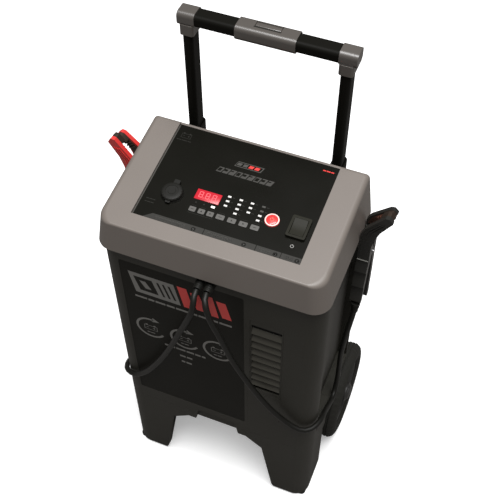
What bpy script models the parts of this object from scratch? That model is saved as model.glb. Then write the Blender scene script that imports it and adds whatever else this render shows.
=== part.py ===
"""Wheeled battery charger and starter, modelled as an assembly of separate pieces.

Metres, +Z up.  The charger faces -Y.  The origin is on the floor, midway between the lead
glands' open ends and the back of the wheels.  Lengths below are in metres; "depth" means the
distance behind the lid's front top edge.
"""
import math

import bmesh
import bpy
from mathutils import Matrix, Vector

# ---------------------------------------------------------------- driving dimensions
BODY_HALF = 0.190            # half the width of the black case
BODY_FRONT = 0.003           # depth of the case's front face
BODY_REAR = 0.2305           # depth of the case's rear face
BODY_SPLIT = 0.118           # depth of the joint between the front and rear shells
BODY_CORNER = 0.030          # radius of the upright corners
WALL = 0.0035

LID_TOP_HALF = 0.185
LID_BOTTOM_HALF = 0.194
LID_TOP_DEPTH = 0.222
LID_FLARE = 0.0055           # how far the apron's lower edge stands proud at front and back
LID_BOTTOM_Z = 0.669
LID_FRONT_Z = 0.729          # height of the lid's front top edge
LID_SLOPE = math.radians(7.23)

PANEL_HALF = 0.137
PANEL_NEAR = 0.030           # depth of the panel's near and far edges
PANEL_FAR = 0.217
PANEL_DROP = 0.004           # how far the panel lies below the lid's rails
PANEL_THICK = 0.003

SEAM_Z = 0.210               # joint between the case and the base
BASE_FRONT_NOTCH_Z = 0.2235
LEG_REAR = 0.093
LEG_WALL_REAR = 0.020        # back of the front wall of each leg
LEG_SIDE_WALL = 0.0070
BASE_UNDERSIDE_Z = 0.150

WHEEL_R = 0.103
WHEEL_DEPTH = 0.217
WHEEL_INNER = 0.168
WHEEL_OUTER = 0.208
HUB_R = 0.072
AXLE_R = 0.006

TUBE_X = 0.124               # half the spacing of the handle tubes
TUBE_DEPTH = 0.249
TUBE_SIZE = (0.017, 0.030)
SLEEVE_SIZE = (0.023, 0.036)
SLEEVE_TOP_Z = 0.731
SLEEVE_BOTTOM_Z = 0.330
TUBE_BOTTOM_Z = 0.560
COLLAR_Z = 0.9215            # underside of the handle's corner pieces
CROSSBAR_Z = 0.947
CROSSBAR_SIZE = (0.028, 0.020)
HANDLE_TOP_Z = 0.959
CAP_X = (0.1115, 0.1392)     # inner and outer faces of the handle's corner caps
CAP_BOTTOM_Z = 0.9355
CAP_HALF_DEPTH = 0.0150
TUBE_TOP_Z = 0.934

RECESS_X = 0.172             # the side walls inside the clamp recesses
CLAMP_PIVOT = (0.2045, 0.176, 0.632)     # x, depth, z
CLAMP_HALF = 0.010
LEAD_D = 0.010
GLAND_X = (-0.0125, 0.0045)
GLAND_Z = 0.650
GLAND_TIP = -0.013           # depth of the glands' open ends

GAP = 0.0003                 # clearance between touching pieces

FRONT = -(WHEEL_DEPTH + WHEEL_R + GLAND_TIP) / 2


def at_depth(depth):
    """World Y of a depth behind the lid's front top edge."""
    return FRONT + depth


def lid_z(depth):
    """Height of the lid's sloping top at a depth."""
    return LID_FRONT_Z + math.tan(LID_SLOPE) * depth


# ---------------------------------------------------------------- scene and helpers
def clear_scene():
    for item in list(bpy.data.objects):
        bpy.data.objects.remove(item, do_unlink=True)


def new_collection(name):
    group = bpy.data.collections.new(name)
    bpy.context.scene.collection.children.link(group)
    return group


clear_scene()
PARTS = new_collection("battery_charger")
CUTTERS = new_collection("cutters")


def material(name, colour, roughness, metallic=0.0):
    shade = bpy.data.materials.new(name)
    shade.use_nodes = True
    principled = shade.node_tree.nodes["Principled BSDF"]
    principled.inputs["Base Color"].default_value = (*colour, 1.0)
    principled.inputs["Roughness"].default_value = roughness
    principled.inputs["Metallic"].default_value = metallic
    return shade


CASE_BLACK = material("case_black", (0.022, 0.021, 0.020), 0.55)
LID_GREY = material("lid_grey", (0.30, 0.27, 0.25), 0.45)
PANEL_BLACK = material("panel_black", (0.010, 0.010, 0.010), 0.30)
LABEL_BLACK = material("label_black", (0.014, 0.014, 0.013), 0.35)
KEY_GREY = material("key_grey", (0.32, 0.31, 0.30), 0.50)
DISPLAY_RED = material("display_red", (0.55, 0.03, 0.05), 0.15)
BUTTON_RED = material("button_red", (0.65, 0.04, 0.05), 0.30)
RUBBER = material("rubber", (0.020, 0.020, 0.020), 0.80)
TYRE = material("tyre", (0.018, 0.018, 0.018), 0.85)
HUB_BLACK = material("hub_black", (0.030, 0.030, 0.030), 0.50)
TUBE_BLACK = material("tube_black", (0.015, 0.015, 0.015), 0.35, 0.2)
STEEL = material("steel", (0.55, 0.55, 0.56), 0.30, 1.0)
CLAMP_RED = material("clamp_red", (0.60, 0.03, 0.03), 0.40)
CLAMP_BLACK = material("clamp_black", (0.020, 0.020, 0.020), 0.40)
COPPER = material("copper", (0.72, 0.36, 0.20), 0.35, 1.0)
CORE_STEEL = material("core_steel", (0.20, 0.20, 0.22), 0.50, 0.8)
BOARD_GREEN = material("board_green", (0.03, 0.18, 0.07), 0.50)
ALUMINIUM = material("aluminium", (0.70, 0.70, 0.72), 0.35, 1.0)


def make_object(name, bm, shade, cutter=False):
    """Turn a bmesh into a part, or into a hidden cutter."""
    bmesh.ops.recalc_face_normals(bm, faces=bm.faces)
    mesh = bpy.data.meshes.new(name)
    bm.to_mesh(mesh)
    bm.free()
    item = bpy.data.objects.new(name, mesh)
    if cutter:
        CUTTERS.objects.link(item)
        item.hide_render = True
        item.display_type = "WIRE"
    else:
        PARTS.objects.link(item)
        mesh.materials.append(shade)
        mesh.shade_smooth()
        mesh.set_sharp_from_angle(angle=math.radians(35))
    return item


def block_bm(low, high):
    """A primitive cube stretched between two corners."""
    bm = bmesh.new()
    bmesh.ops.create_cube(bm, size=1.0)
    low, high = Vector(low), Vector(high)
    size, centre = high - low, (high + low) / 2
    for vert in bm.verts:
        vert.co = Vector(c * s for c, s in zip(vert.co, size)) + centre
    return bm


def along(axis):
    """Picks the edges that run along X, Y or Z."""
    def pick(edge):
        run = (edge.verts[1].co - edge.verts[0].co).normalized()
        return abs(run["XYZ".index(axis)]) > 0.98
    return pick


def round_edges(bm, pick, width, segments=3):
    edges = [edge for edge in bm.edges if pick(edge)]
    bmesh.ops.bevel(bm, geom=edges, offset=width, segments=segments, profile=0.5,
                    affect="EDGES", clamp_overlap=True)


def block(name, low, high, shade=None, rounds=(), cutter=False):
    """A box; rounds lists (axis of the edges, radius, segments)."""
    bm = block_bm(low, high)
    for axis, width, segments in rounds:
        round_edges(bm, along(axis), width, segments)
    return make_object(name, bm, shade, cutter)


def cylinder(name, centre, radius, length, axis="Z", shade=None, cutter=False, sides=32,
             radius_end=None):
    bm = bmesh.new()
    bmesh.ops.create_cone(bm, cap_ends=True, segments=sides, radius1=radius,
                          radius2=radius if radius_end is None else radius_end, depth=length)
    turn = {"X": Matrix.Rotation(math.radians(90), 4, "Y"),
            "Y": Matrix.Rotation(math.radians(-90), 4, "X"), "Z": Matrix.Identity(4)}[axis]
    bmesh.ops.transform(bm, matrix=Matrix.Translation(centre) @ turn, verts=bm.verts)
    return make_object(name, bm, shade, cutter)


def prism(name, outline, plane, start, end, shade=None, cutter=False):
    """A flat outline in the XY, XZ or YZ plane, thickened from start to end."""
    curve = bpy.data.curves.new(name + "_outline", "CURVE")
    curve.dimensions = "2D"
    curve.fill_mode = "BOTH"
    curve.extrude = abs(end - start) / 2
    spline = curve.splines.new("POLY")
    spline.points.add(len(outline) - 1)
    for point, (u, v) in zip(spline.points, outline):
        point.co = (u, v, 0.0, 1.0)
    spline.use_cyclic_u = True
    guide = bpy.data.objects.new(name + "_outline", curve)
    bpy.context.scene.collection.objects.link(guide)
    bpy.context.view_layer.update()
    flat = bpy.data.meshes.new_from_object(guide.evaluated_get(bpy.context.evaluated_depsgraph_get()))
    bm = bmesh.new()
    bm.from_mesh(flat)
    bmesh.ops.remove_doubles(bm, verts=bm.verts, dist=1e-6)
    middle = (start + end) / 2
    columns = {"XY": ((1, 0, 0), (0, 1, 0), (0, 0, 1)),
               "XZ": ((1, 0, 0), (0, 0, 1), (0, 1, 0)),
               "YZ": ((0, 1, 0), (0, 0, 1), (1, 0, 0))}[plane]
    frame = Matrix(columns).transposed().to_4x4()
    shift = Matrix.Translation(Vector(columns[2]) * middle)
    bmesh.ops.transform(bm, matrix=shift @ frame, verts=bm.verts)
    bpy.data.objects.remove(guide, do_unlink=True)
    return make_object(name, bm, shade, cutter)


def turned(name, profile, shade, axis="Z", centre=(0, 0, 0), steps=32, closed=False):
    """A profile of (radius, height) turned about its axis with a Screw modifier."""
    bm = bmesh.new()
    verts = [bm.verts.new((radius, 0.0, height)) for radius, height in profile]
    for first, second in zip(verts, verts[1:]):
        bm.edges.new((first, second))
    if closed:
        bm.edges.new((verts[-1], verts[0]))
    item = make_object(name, bm, shade)
    screw = item.modifiers.new("turn", "SCREW")
    screw.steps = screw.render_steps = steps
    screw.use_merge_vertices = True
    screw.merge_threshold = 0.00001
    screw.use_smooth_shade = True
    turn = {"X": Matrix.Rotation(math.radians(90), 4, "Y"),
            "Y": Matrix.Rotation(math.radians(-90), 4, "X"), "Z": Matrix.Identity(4)}[axis]
    item.matrix_world = Matrix.Translation(centre) @ turn
    return item


def combine(target, other, operation):
    change = target.modifiers.new(operation.lower() + "_" + other.name, "BOOLEAN")
    change.operation = operation
    change.object = other
    change.solver = "EXACT"


def cut(target, *cutters):
    for cutter in cutters:
        combine(target, cutter, "DIFFERENCE")


def join(target, *others):
    """Unite hidden helper solids with a part."""
    for other in others:
        combine(target, other, "UNION")


def arc(centre, radius, start, end, count):
    """Points on an arc, angles in degrees."""
    points = []
    for step in range(count + 1):
        angle = math.radians(start + (end - start) * step / count)
        points.append((centre[0] + radius * math.cos(angle), centre[1] + radius * math.sin(angle)))
    return points


def case_plan(half, front, rear, front_radius, rear_radius=0.004, segments=6):
    """Plan outline of the case: large front corners, small rear corners."""
    outline = []
    for sign, depth, radius, start in ((1, front, front_radius, -90), (1, rear, rear_radius, 0),
                                       (-1, rear, rear_radius, 90), (-1, front, front_radius, 180)):
        inward = radius if depth == front else -radius
        centre = (sign * (half - radius), at_depth(depth + inward))
        outline += arc(centre, radius, start, start + 90, segments if radius > 0.01 else 2)
    return outline


def set_origin(item, point):
    """Move a piece's origin onto its joint axis without moving the piece."""
    item.data.transform(Matrix.Translation(-Vector(point)))
    item.matrix_world = Matrix.Translation(point)


def carry(name, point, items):
    """Hang pieces on an empty that stands on their joint axis."""
    holder = bpy.data.objects.new(name, None)
    PARTS.objects.link(holder)
    holder.location = point
    for item in items:
        item.parent = holder
        item.matrix_parent_inverse = Matrix.Translation(-Vector(point))


# ---------------------------------------------------------------- case
def recess_outline(front_shift=0.0):
    """Side view (world Y, Z) of the clamp recess in each flank."""
    return [(at_depth(0.060 + front_shift), 0.664), (at_depth(0.063 + front_shift), 0.470),
            (at_depth(0.037 + front_shift), 0.436), (at_depth(0.037 + front_shift), 0.236),
            (at_depth(0.222), 0.236), (at_depth(0.222), 0.664)]


def arch_outline(top):
    """Front view (X, Z) of the opening between the legs."""
    right = [(0.1235, -0.010), (0.1235, 0.002), (0.1170, 0.014), (0.0935, 0.1595)]
    if top > 0.190:
        right += [(0.0440, 0.187), (0.0385, top - 0.004), (0.0350, top)]
    else:
        right += [(0.0600, top)]
    return right + [(-x, z) for x, z in reversed(right)]


def make_shells():
    """Front and rear halves of the black case, with the clamp recesses in their flanks."""
    recesses = [prism(f"recess_{side}", recess_outline(), "YZ", sign * RECESS_X,
                      sign * (BODY_HALF + 0.020), cutter=True) for side, sign in SIDES]
    top_z = LID_BOTTOM_Z + 0.003
    shells = []
    for name, near, far in (("front_shell", -0.050, BODY_SPLIT - GAP / 2),
                            ("rear_shell", BODY_SPLIT + GAP / 2, 0.300)):
        shell = prism(name, case_plan(BODY_HALF, BODY_FRONT, BODY_REAR, BODY_CORNER), "XY",
                      SEAM_Z, top_z, CASE_BLACK)
        keep = block(name + "_extent", (-0.3, at_depth(near), 0.1), (0.3, at_depth(far), 0.8), cutter=True)
        combine(shell, keep, "INTERSECT")
        cut(shell, *recesses)
        shells.append(shell)
    front, rear = shells
    wide = prism("front_cavity", case_plan(BODY_HALF - WALL, BODY_FRONT + WALL, 0.033,
                                           BODY_CORNER - 0.0070, 0.002), "XY",
                 SEAM_Z - 0.010, top_z + 0.010, cutter=True)
    narrow = block("inner_cavity", (-RECESS_X + WALL, at_depth(0.030), SEAM_Z - 0.010),
                   (RECESS_X - WALL, at_depth(BODY_REAR - WALL), top_z + 0.010), cutter=True)
    cut(front, wide, narrow)
    cut(rear, narrow)
    return front, rear


def make_base():
    """Base moulding with its two front legs and wheel arches."""
    base = prism("base", case_plan(BODY_HALF, BODY_FRONT, BODY_REAR, BODY_CORNER), "XY",
                 0.006, SEAM_Z - GAP, CASE_BLACK)
    notch = prism("front_arch", arch_outline(BASE_FRONT_NOTCH_Z), "XZ", at_depth(-0.030),
                  at_depth(0.012), cutter=True)
    deep = prism("deep_arch", arch_outline(0.186), "XZ", at_depth(-0.030), at_depth(0.260), cutter=True)
    behind = block("behind_legs", (-0.3, at_depth(LEG_REAR), -0.010),
                   (0.3, at_depth(0.260), BASE_UNDERSIDE_Z), cutter=True)
    reach = BODY_HALF - LEG_SIDE_WALL
    inside = block("between_walls", (-reach, at_depth(LEG_WALL_REAR), -0.012),
                   (reach, at_depth(LEG_REAR + 0.004), BASE_UNDERSIDE_Z + 0.0005), cutter=True)
    cut(base, deep, notch, behind, inside)
    for side, sign in SIDES:
        inner, outer = sorted((sign * 0.127, sign * (BODY_HALF - 0.0065)))
        cut(base, block(f"leg_hollow_{side}", (inner, at_depth(0.022), 0.012),
                        (outer, at_depth(0.130), SEAM_Z - 0.008), cutter=True))
        inner, outer = sorted((sign * (WHEEL_INNER - 0.005), sign * 0.3))
        cut(base, block(f"wheel_arch_{side}", (inner, at_depth(0.106), -0.010),
                        (outer, at_depth(0.260), 0.300), cutter=True))
    return base, notch


def make_lid():
    """Grey lid: a flared apron and a sloping top with a pocket for the control panel."""
    bm = block_bm((-1, -1, 0), (1, 1, 1))
    for vert in bm.verts:
        top = vert.co.z > 0.5
        half = LID_TOP_HALF if top else LID_BOTTOM_HALF
        flare = 0.0 if top else LID_FLARE
        depth = -flare if vert.co.y < 0 else LID_TOP_DEPTH + flare
        vert.co = (math.copysign(half, vert.co.x), at_depth(depth), lid_z(depth) if top else LID_BOTTOM_Z)
    middle = at_depth(LID_TOP_DEPTH / 2)
    for width, way in ((0.030, -1), (0.007, 1)):
        round_edges(bm, lambda e: abs(e.verts[0].co.z - e.verts[1].co.z) > 0.04
                    and min(way * (v.co.y - middle) for v in e.verts) > 0.060, width, 6)
    round_edges(bm, lambda e: min(v.co.z for v in e.verts) > LID_FRONT_Z - 0.002, 0.0045, 3)
    lid = make_object("lid", bm, LID_GREY)
    pocket_floor = -(PANEL_DROP + PANEL_THICK + GAP)
    pocket = slope_block("panel_pocket", (-PANEL_HALF, PANEL_NEAR), (PANEL_HALF, PANEL_FAR),
                         pocket_floor, 0.050)
    open_end = slope_block("panel_open_end", (-PANEL_HALF, PANEL_NEAR), (PANEL_HALF, 0.300),
                           -PANEL_DROP, 0.050)
    hollow = slope_block("lid_hollow", (-0.176, 0.012), (0.176, 0.208), -0.200, -0.014)
    throat = slope_block("panel_throat", (-PANEL_HALF + 0.006, PANEL_NEAR + 0.006),
                         (PANEL_HALF - 0.006, PANEL_FAR - 0.010), -0.200, 0.050)
    rabbet = prism("lid_rabbet", case_plan(BODY_HALF + 0.0005, BODY_FRONT - 0.0005, BODY_REAR + 0.050,
                                           BODY_CORNER, 0.001), "XY",
                   LID_BOTTOM_Z - 0.010, LID_BOTTOM_Z + 0.0035, cutter=True)
    cut(lid, pocket, open_end, hollow, throat, rabbet)
    return lid


def slope_block(name, near_left, far_right, bottom, top):
    """A cutter box whose floor and roof lie parallel to the lid's sloping top."""
    bm = block_bm((-1, -1, 0), (1, 1, 1))
    for vert in bm.verts:
        x = near_left[0] if vert.co.x < 0 else far_right[0]
        depth = near_left[1] if vert.co.y < 0 else far_right[1]
        vert.co = (x, at_depth(depth), lid_z(depth) + (top if vert.co.z > 0.5 else bottom))
    return make_object(name, bm, None, cutter=True)


# ---------------------------------------------------------------- front panel pieces
LABEL_BOX = (-0.157, 0.059, 0.243, 0.641)          # x0, x1, z0, z1
GRILLE_BOX = (0.0695, 0.1270, 0.3705, 0.5905)
RIB_PITCH = 0.01993
RIB_COUNT = 11
RIB_TOP_Z = 0.580


def make_front_fittings(front_shell, notch):
    x0, x1, z0, z1 = LABEL_BOX
    front = at_depth(BODY_FRONT)
    cut(front_shell, block("label_pocket", (x0, front - 0.010, z0), (x1, front + 0.002, z1), cutter=True))
    block("label_plate", (x0 + GAP, front + 0.0004, z0 + GAP), (x1 - GAP, front + 0.002 - GAP, z1 - GAP),
          LABEL_BLACK)
    x0, x1, z0, z1 = GRILLE_BOX
    cut(front_shell, block("grille_window", (x0, front - 0.010, z0), (x1, front + 0.020, z1), cutter=True))
    cut(front_shell, notch)
    grille = block("louvre_grille", (x0 + GAP, front + 0.0003, z0 + GAP),
                   (x1 - GAP, front + 0.0035, z1 - GAP), CASE_BLACK)
    for gap in range(RIB_COUNT - 1):
        middle = RIB_TOP_Z - RIB_PITCH * (gap + 0.5)
        cut(grille, block(f"grille_slot_{gap}", (x0 + 0.003, front - 0.010, middle - 0.0046),
                          (x1 - 0.003, front + 0.020, middle + 0.0046), cutter=True))
    for side, x in zip(("left", "right"), GLAND_X):
        hole = cylinder(f"gland_hole_{side}", (x, at_depth(BODY_FRONT), GLAND_Z), 0.0062, 0.030, "Y",
                        cutter=True, sides=20)
        cut(front_shell, hole)
        make_gland(f"lead_gland_{side}", x)


def make_gland(name, x):
    """Moulded strain relief that carries a lead out through the front wall."""
    length = BODY_FRONT - GAP - GLAND_TIP
    profile = [(LEAD_D / 2 + 0.0003, length), (0.0068, length), (0.0080, length * 0.35),
               (0.0080, 0.0), (LEAD_D / 2 + 0.0003, 0.0)]
    item = turned(name, profile, RUBBER, "Y", steps=16, closed=True)
    item.matrix_world = (Matrix.Translation((x, at_depth(BODY_FRONT - GAP), GLAND_Z))
                         @ Matrix.Rotation(math.radians(90), 4, "X"))
    return item


# ---------------------------------------------------------------- control panel
def panel_frame():
    """Empty that carries the control panel: its XY plane is the panel's surface."""
    frame = bpy.data.objects.new("panel_frame", None)
    PARTS.objects.link(frame)
    frame.matrix_world = (Matrix.Translation((0, FRONT, LID_FRONT_Z - PANEL_DROP))
                          @ Matrix.Rotation(LID_SLOPE, 4, "X"))
    return frame


def on_panel(item, frame, place=(0, 0, 0)):
    """Put a piece modelled about its own origin on the panel's surface."""
    item.parent = frame
    item.matrix_parent_inverse = Matrix.Identity(4)
    item.location = place


KEY_SIZES = [(-0.0518, 0.0110), (-0.0368, 0.0110), (-0.0222, 0.0110), (-0.0057, 0.0135),
             (0.0131, 0.0135), (0.0319, 0.0135), (0.0505, 0.0135)]       # x of centre, width
KEY_V = 0.0705
KEY_TRAVEL = 0.0008
DISPLAY = (-0.0380, 0.1000, 0.0405, 0.0190)        # x, distance up the slope, width, height
SOCKET = (-0.0925, 0.0865)
SOCKET_R = 0.0175
START = (0.0705, 0.0920)
START_R = 0.0115
SWITCH = (0.1137, 0.0910)
SWITCH_SIZE = (0.031, 0.039)
ROCKER_SIZE = (0.0215, 0.0290)
ROCKER_TILT = math.radians(6)
BOARD_DROP = 0.036


def make_panel(frame):
    slope_length = (PANEL_FAR - PANEL_NEAR) / math.cos(LID_SLOPE)
    v0 = PANEL_NEAR / math.cos(LID_SLOPE)
    plate = block("control_panel", (-PANEL_HALF + GAP, v0 + 0.0010, -PANEL_THICK),
                  (PANEL_HALF - GAP, v0 + slope_length - 0.0010, 0.0), PANEL_BLACK)
    on_panel(plate, frame)
    holes = []
    for number, (x, width) in enumerate(KEY_SIZES, start=1):
        size = (width / 2, 0.0045)
        low, high = (x - size[0], KEY_V - size[1]), (x + size[0], KEY_V + size[1])
        holes.append(block(f"key_hole_{number}", (low[0] - GAP, low[1] - GAP, -0.020),
                           (high[0] + GAP, high[1] + GAP, 0.020), cutter=True))
        key = block(f"key_{number}", (-size[0], -size[1], -PANEL_THICK), (size[0], size[1], 0.0012),
                    KEY_GREY, rounds=(("Z", 0.0015, 2),))
        on_panel(key, frame, (x, KEY_V, 0))
    x, v, width, height = DISPLAY
    holes.append(block("display_hole", (x - width / 2 - GAP, v - height / 2 - GAP, -0.020),
                       (x + width / 2 + GAP, v + height / 2 + GAP, 0.020), cutter=True))
    window = block("display_window", (-width / 2, -height / 2, -PANEL_THICK),
                   (width / 2, height / 2, 0.0006), DISPLAY_RED)
    on_panel(window, frame, (x, v, 0))
    holes.append(cylinder("start_hole", (*START, 0), START_R + 0.0005, 0.040, cutter=True, sides=36))
    holes.append(cylinder("socket_hole", (*SOCKET, 0), 0.0145 + GAP, 0.040, cutter=True, sides=36))
    x, v = SWITCH
    holes.append(block("switch_hole", (x - 0.0135, v - 0.0170, -0.020), (x + 0.0135, v + 0.0170, 0.020),
                       cutter=True))
    for hole in holes:
        on_panel(hole, frame)
        cut(plate, hole)
    for x in (-0.060, 0.094):
        for v in (0.050, 0.180):
            post = cylinder(f"board_post_{x}_{v}", (x, v, -BOARD_DROP / 2 - 0.0005), 0.0035,
                            BOARD_DROP - 0.001 - GAP, cutter=True, sides=16)
            on_panel(post, frame)
            join(plate, post)
    board = block("circuit_board", (-0.066, 0.040, -BOARD_DROP - 0.0016), (0.100, 0.190, -BOARD_DROP),
                  BOARD_GREEN)
    on_panel(board, frame)


def make_panel_controls(frame):
    button = turned("start_button", [(0, 0.0030), (START_R - 0.0012, 0.0030), (START_R, 0.0020),
                                     (START_R, -0.0060), (0, -0.0060)], BUTTON_RED, steps=32)
    on_panel(button, frame, (*START, 0))

    barrel = turned("socket_barrel", [(0.0107, 0.0022), (0.0178, 0.0022), (0.0182, GAP),
                                      (0.0145, GAP), (0.0145, -0.0460), (0, -0.0460), (0, -0.0430),
                                      (0.0107, -0.0430)], RUBBER, steps=32, closed=True)
    on_panel(barrel, frame, (*SOCKET, 0))
    make_socket_cap(frame)

    x, v = SWITCH
    bezel = block("switch_bezel", (-SWITCH_SIZE[0] / 2, -SWITCH_SIZE[1] / 2, GAP),
                  (SWITCH_SIZE[0] / 2, SWITCH_SIZE[1] / 2, 0.0060), RUBBER, rounds=(("Z", 0.003, 3),))
    stem = block("switch_stem", (-0.0133, -0.0168, -0.0220), (0.0133, 0.0168, 0.0020), cutter=True)
    well = block("switch_well", (-ROCKER_SIZE[0] / 2 - 0.0004, -ROCKER_SIZE[1] / 2 - 0.0008, -0.0200),
                 (ROCKER_SIZE[0] / 2 + 0.0004, ROCKER_SIZE[1] / 2 + 0.0008, 0.0200), cutter=True)
    join(bezel, stem)
    cut(bezel, well)
    for item in (bezel, stem, well):
        on_panel(item, frame, (x, v, 0))
    outline = [(-0.0142, 0.0036), (-0.0142, -0.0010), (-0.0040, -0.0120), (0.0040, -0.0120),
               (0.0142, -0.0010), (0.0142, 0.0036), (0.0, 0.0016)]
    rocker = prism("rocker", outline, "YZ", -ROCKER_SIZE[0] / 2, ROCKER_SIZE[0] / 2, CASE_BLACK)
    on_panel(rocker, frame, (x, v, 0.0030))
    rocker.rotation_euler = (ROCKER_TILT, 0, 0)


def make_socket_cap(frame):
    """Rubber cap over the 12 V socket, with its hinge lug and finger tab."""
    cap = turned("socket_cap", [(0, 0.0062), (0.0125, 0.0062), (0.0168, 0.0050), (SOCKET_R, 0.0030),
                                (SOCKET_R, 0.0), (0.0100, 0.0), (0.0100, -0.0060), (0, -0.0060)],
                 RUBBER, steps=32)
    lug = block("cap_lug", (-0.0050, SOCKET_R - 0.0040, 0.0002), (0.0050, SOCKET_R + 0.0065, 0.0036),
                cutter=True)
    tab = block("cap_tab", (-0.0040, -SOCKET_R - 0.0030, 0.0002), (0.0040, -SOCKET_R + 0.0030, 0.0024),
                cutter=True)
    join(cap, lug, tab)
    hinge = bpy.data.objects.new("cap_hinge_line", None)
    PARTS.objects.link(hinge)
    on_panel(hinge, frame, (SOCKET[0], SOCKET[1] + SOCKET_R + 0.0045, 0.0045))
    for item in (cap, lug, tab):
        on_panel(item, hinge, (0, -SOCKET_R - 0.0045, 0.0022 + GAP - 0.0045))


# ---------------------------------------------------------------- handle
def hollow_bar(name, x, size, inner, bottom, top, shade, radius=0.006):
    """Upright tube of rounded rectangular section."""
    y = at_depth(TUBE_DEPTH)
    bar = block(name, (x - size[0] / 2, y - size[1] / 2, bottom), (x + size[0] / 2, y + size[1] / 2, top),
                shade, rounds=(("Z", radius, 3),))
    bore = block(name + "_bore", (x - inner[0] / 2, y - inner[1] / 2, bottom - 0.010),
                 (x + inner[0] / 2, y + inner[1] / 2, top + 0.010), cutter=True,
                 rounds=(("Z", max(radius - 0.002, 0.002), 2),))
    cut(bar, bore)
    return bar


def make_handle():
    y = at_depth(TUBE_DEPTH)
    tube_room = (TUBE_SIZE[0] + 0.0008, TUBE_SIZE[1] + 0.0008)
    for side, sign in SIDES:
        x = sign * TUBE_X
        hollow_bar(f"sleeve_{side}", x, SLEEVE_SIZE, tube_room, SLEEVE_BOTTOM_Z, SLEEVE_TOP_Z, TUBE_BLACK,
                   0.008)
        hollow_bar(f"handle_tube_{side}", x, TUBE_SIZE, (TUBE_SIZE[0] - 0.003, TUBE_SIZE[1] - 0.003),
                   TUBE_BOTTOM_Z, TUBE_TOP_Z, TUBE_BLACK)
        inner, outer = sorted(sign * end for end in CAP_X)
        corner = block(f"handle_corner_{side}", (inner, y - CAP_HALF_DEPTH, CAP_BOTTOM_Z),
                       (outer, y + CAP_HALF_DEPTH, HANDLE_TOP_Z), LID_GREY, rounds=(("X", 0.008, 4),))
        join(corner, block(f"corner_collar_{side}", (x - 0.0115, y - 0.0163, COLLAR_Z),
                           (x + 0.0115, y + 0.0163, CAP_BOTTOM_Z + 0.004), cutter=True,
                           rounds=(("Z", 0.0045, 3),)))
        cut(corner, block(f"corner_pocket_{side}",
                          (x - TUBE_SIZE[0] / 2 - GAP, y - TUBE_SIZE[1] / 2 - GAP, COLLAR_Z - 0.010),
                          (x + TUBE_SIZE[0] / 2 + GAP, y + TUBE_SIZE[1] / 2 + GAP, TUBE_TOP_Z + GAP),
                          cutter=True))
    half = CROSSBAR_SIZE[0] / 2, CROSSBAR_SIZE[1] / 2
    bar = block("crossbar", (-CAP_X[0] + GAP, y - half[0], CROSSBAR_Z - half[1]),
                (CAP_X[0] - GAP, y + half[0], CROSSBAR_Z + half[1]), TUBE_BLACK, rounds=(("X", 0.006, 3),))
    grip = block("grip", (-0.047, y - 0.0160, CROSSBAR_Z - 0.0122), (0.047, y + 0.0160, CROSSBAR_Z + 0.0122),
                 LID_GREY, rounds=(("X", 0.006, 3),))
    bore = block("grip_bore", (-0.060, y - half[0] - GAP, CROSSBAR_Z - half[1] - GAP),
                 (0.060, y + half[0] + GAP, CROSSBAR_Z + half[1] + GAP), cutter=True,
                 rounds=(("X", 0.006, 3),))
    slot = block("button_slot", (-0.0205, y - 0.0020, CROSSBAR_Z + 0.0015), (0.0205, y + 0.0080, 0.990),
                 cutter=True)
    cut(grip, bore, slot)
    cut(bar, slot)
    button = block("release_button", (-0.0200, y - 0.0015, CROSSBAR_Z + 0.0055),
                   (0.0200, y + 0.0075, CROSSBAR_Z + 0.0126), LID_GREY, rounds=(("Z", 0.0020, 2),))
    set_origin(button, (0, at_depth(TUBE_DEPTH + 0.003), 0.957))
    moving = [bpy.data.objects[f"{kind}_{side}"] for kind in ("handle_tube", "handle_corner")
              for side, _ in SIDES]
    carry("handle_slide_line", (0, y, 0.70), moving + [bar, grip])


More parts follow.
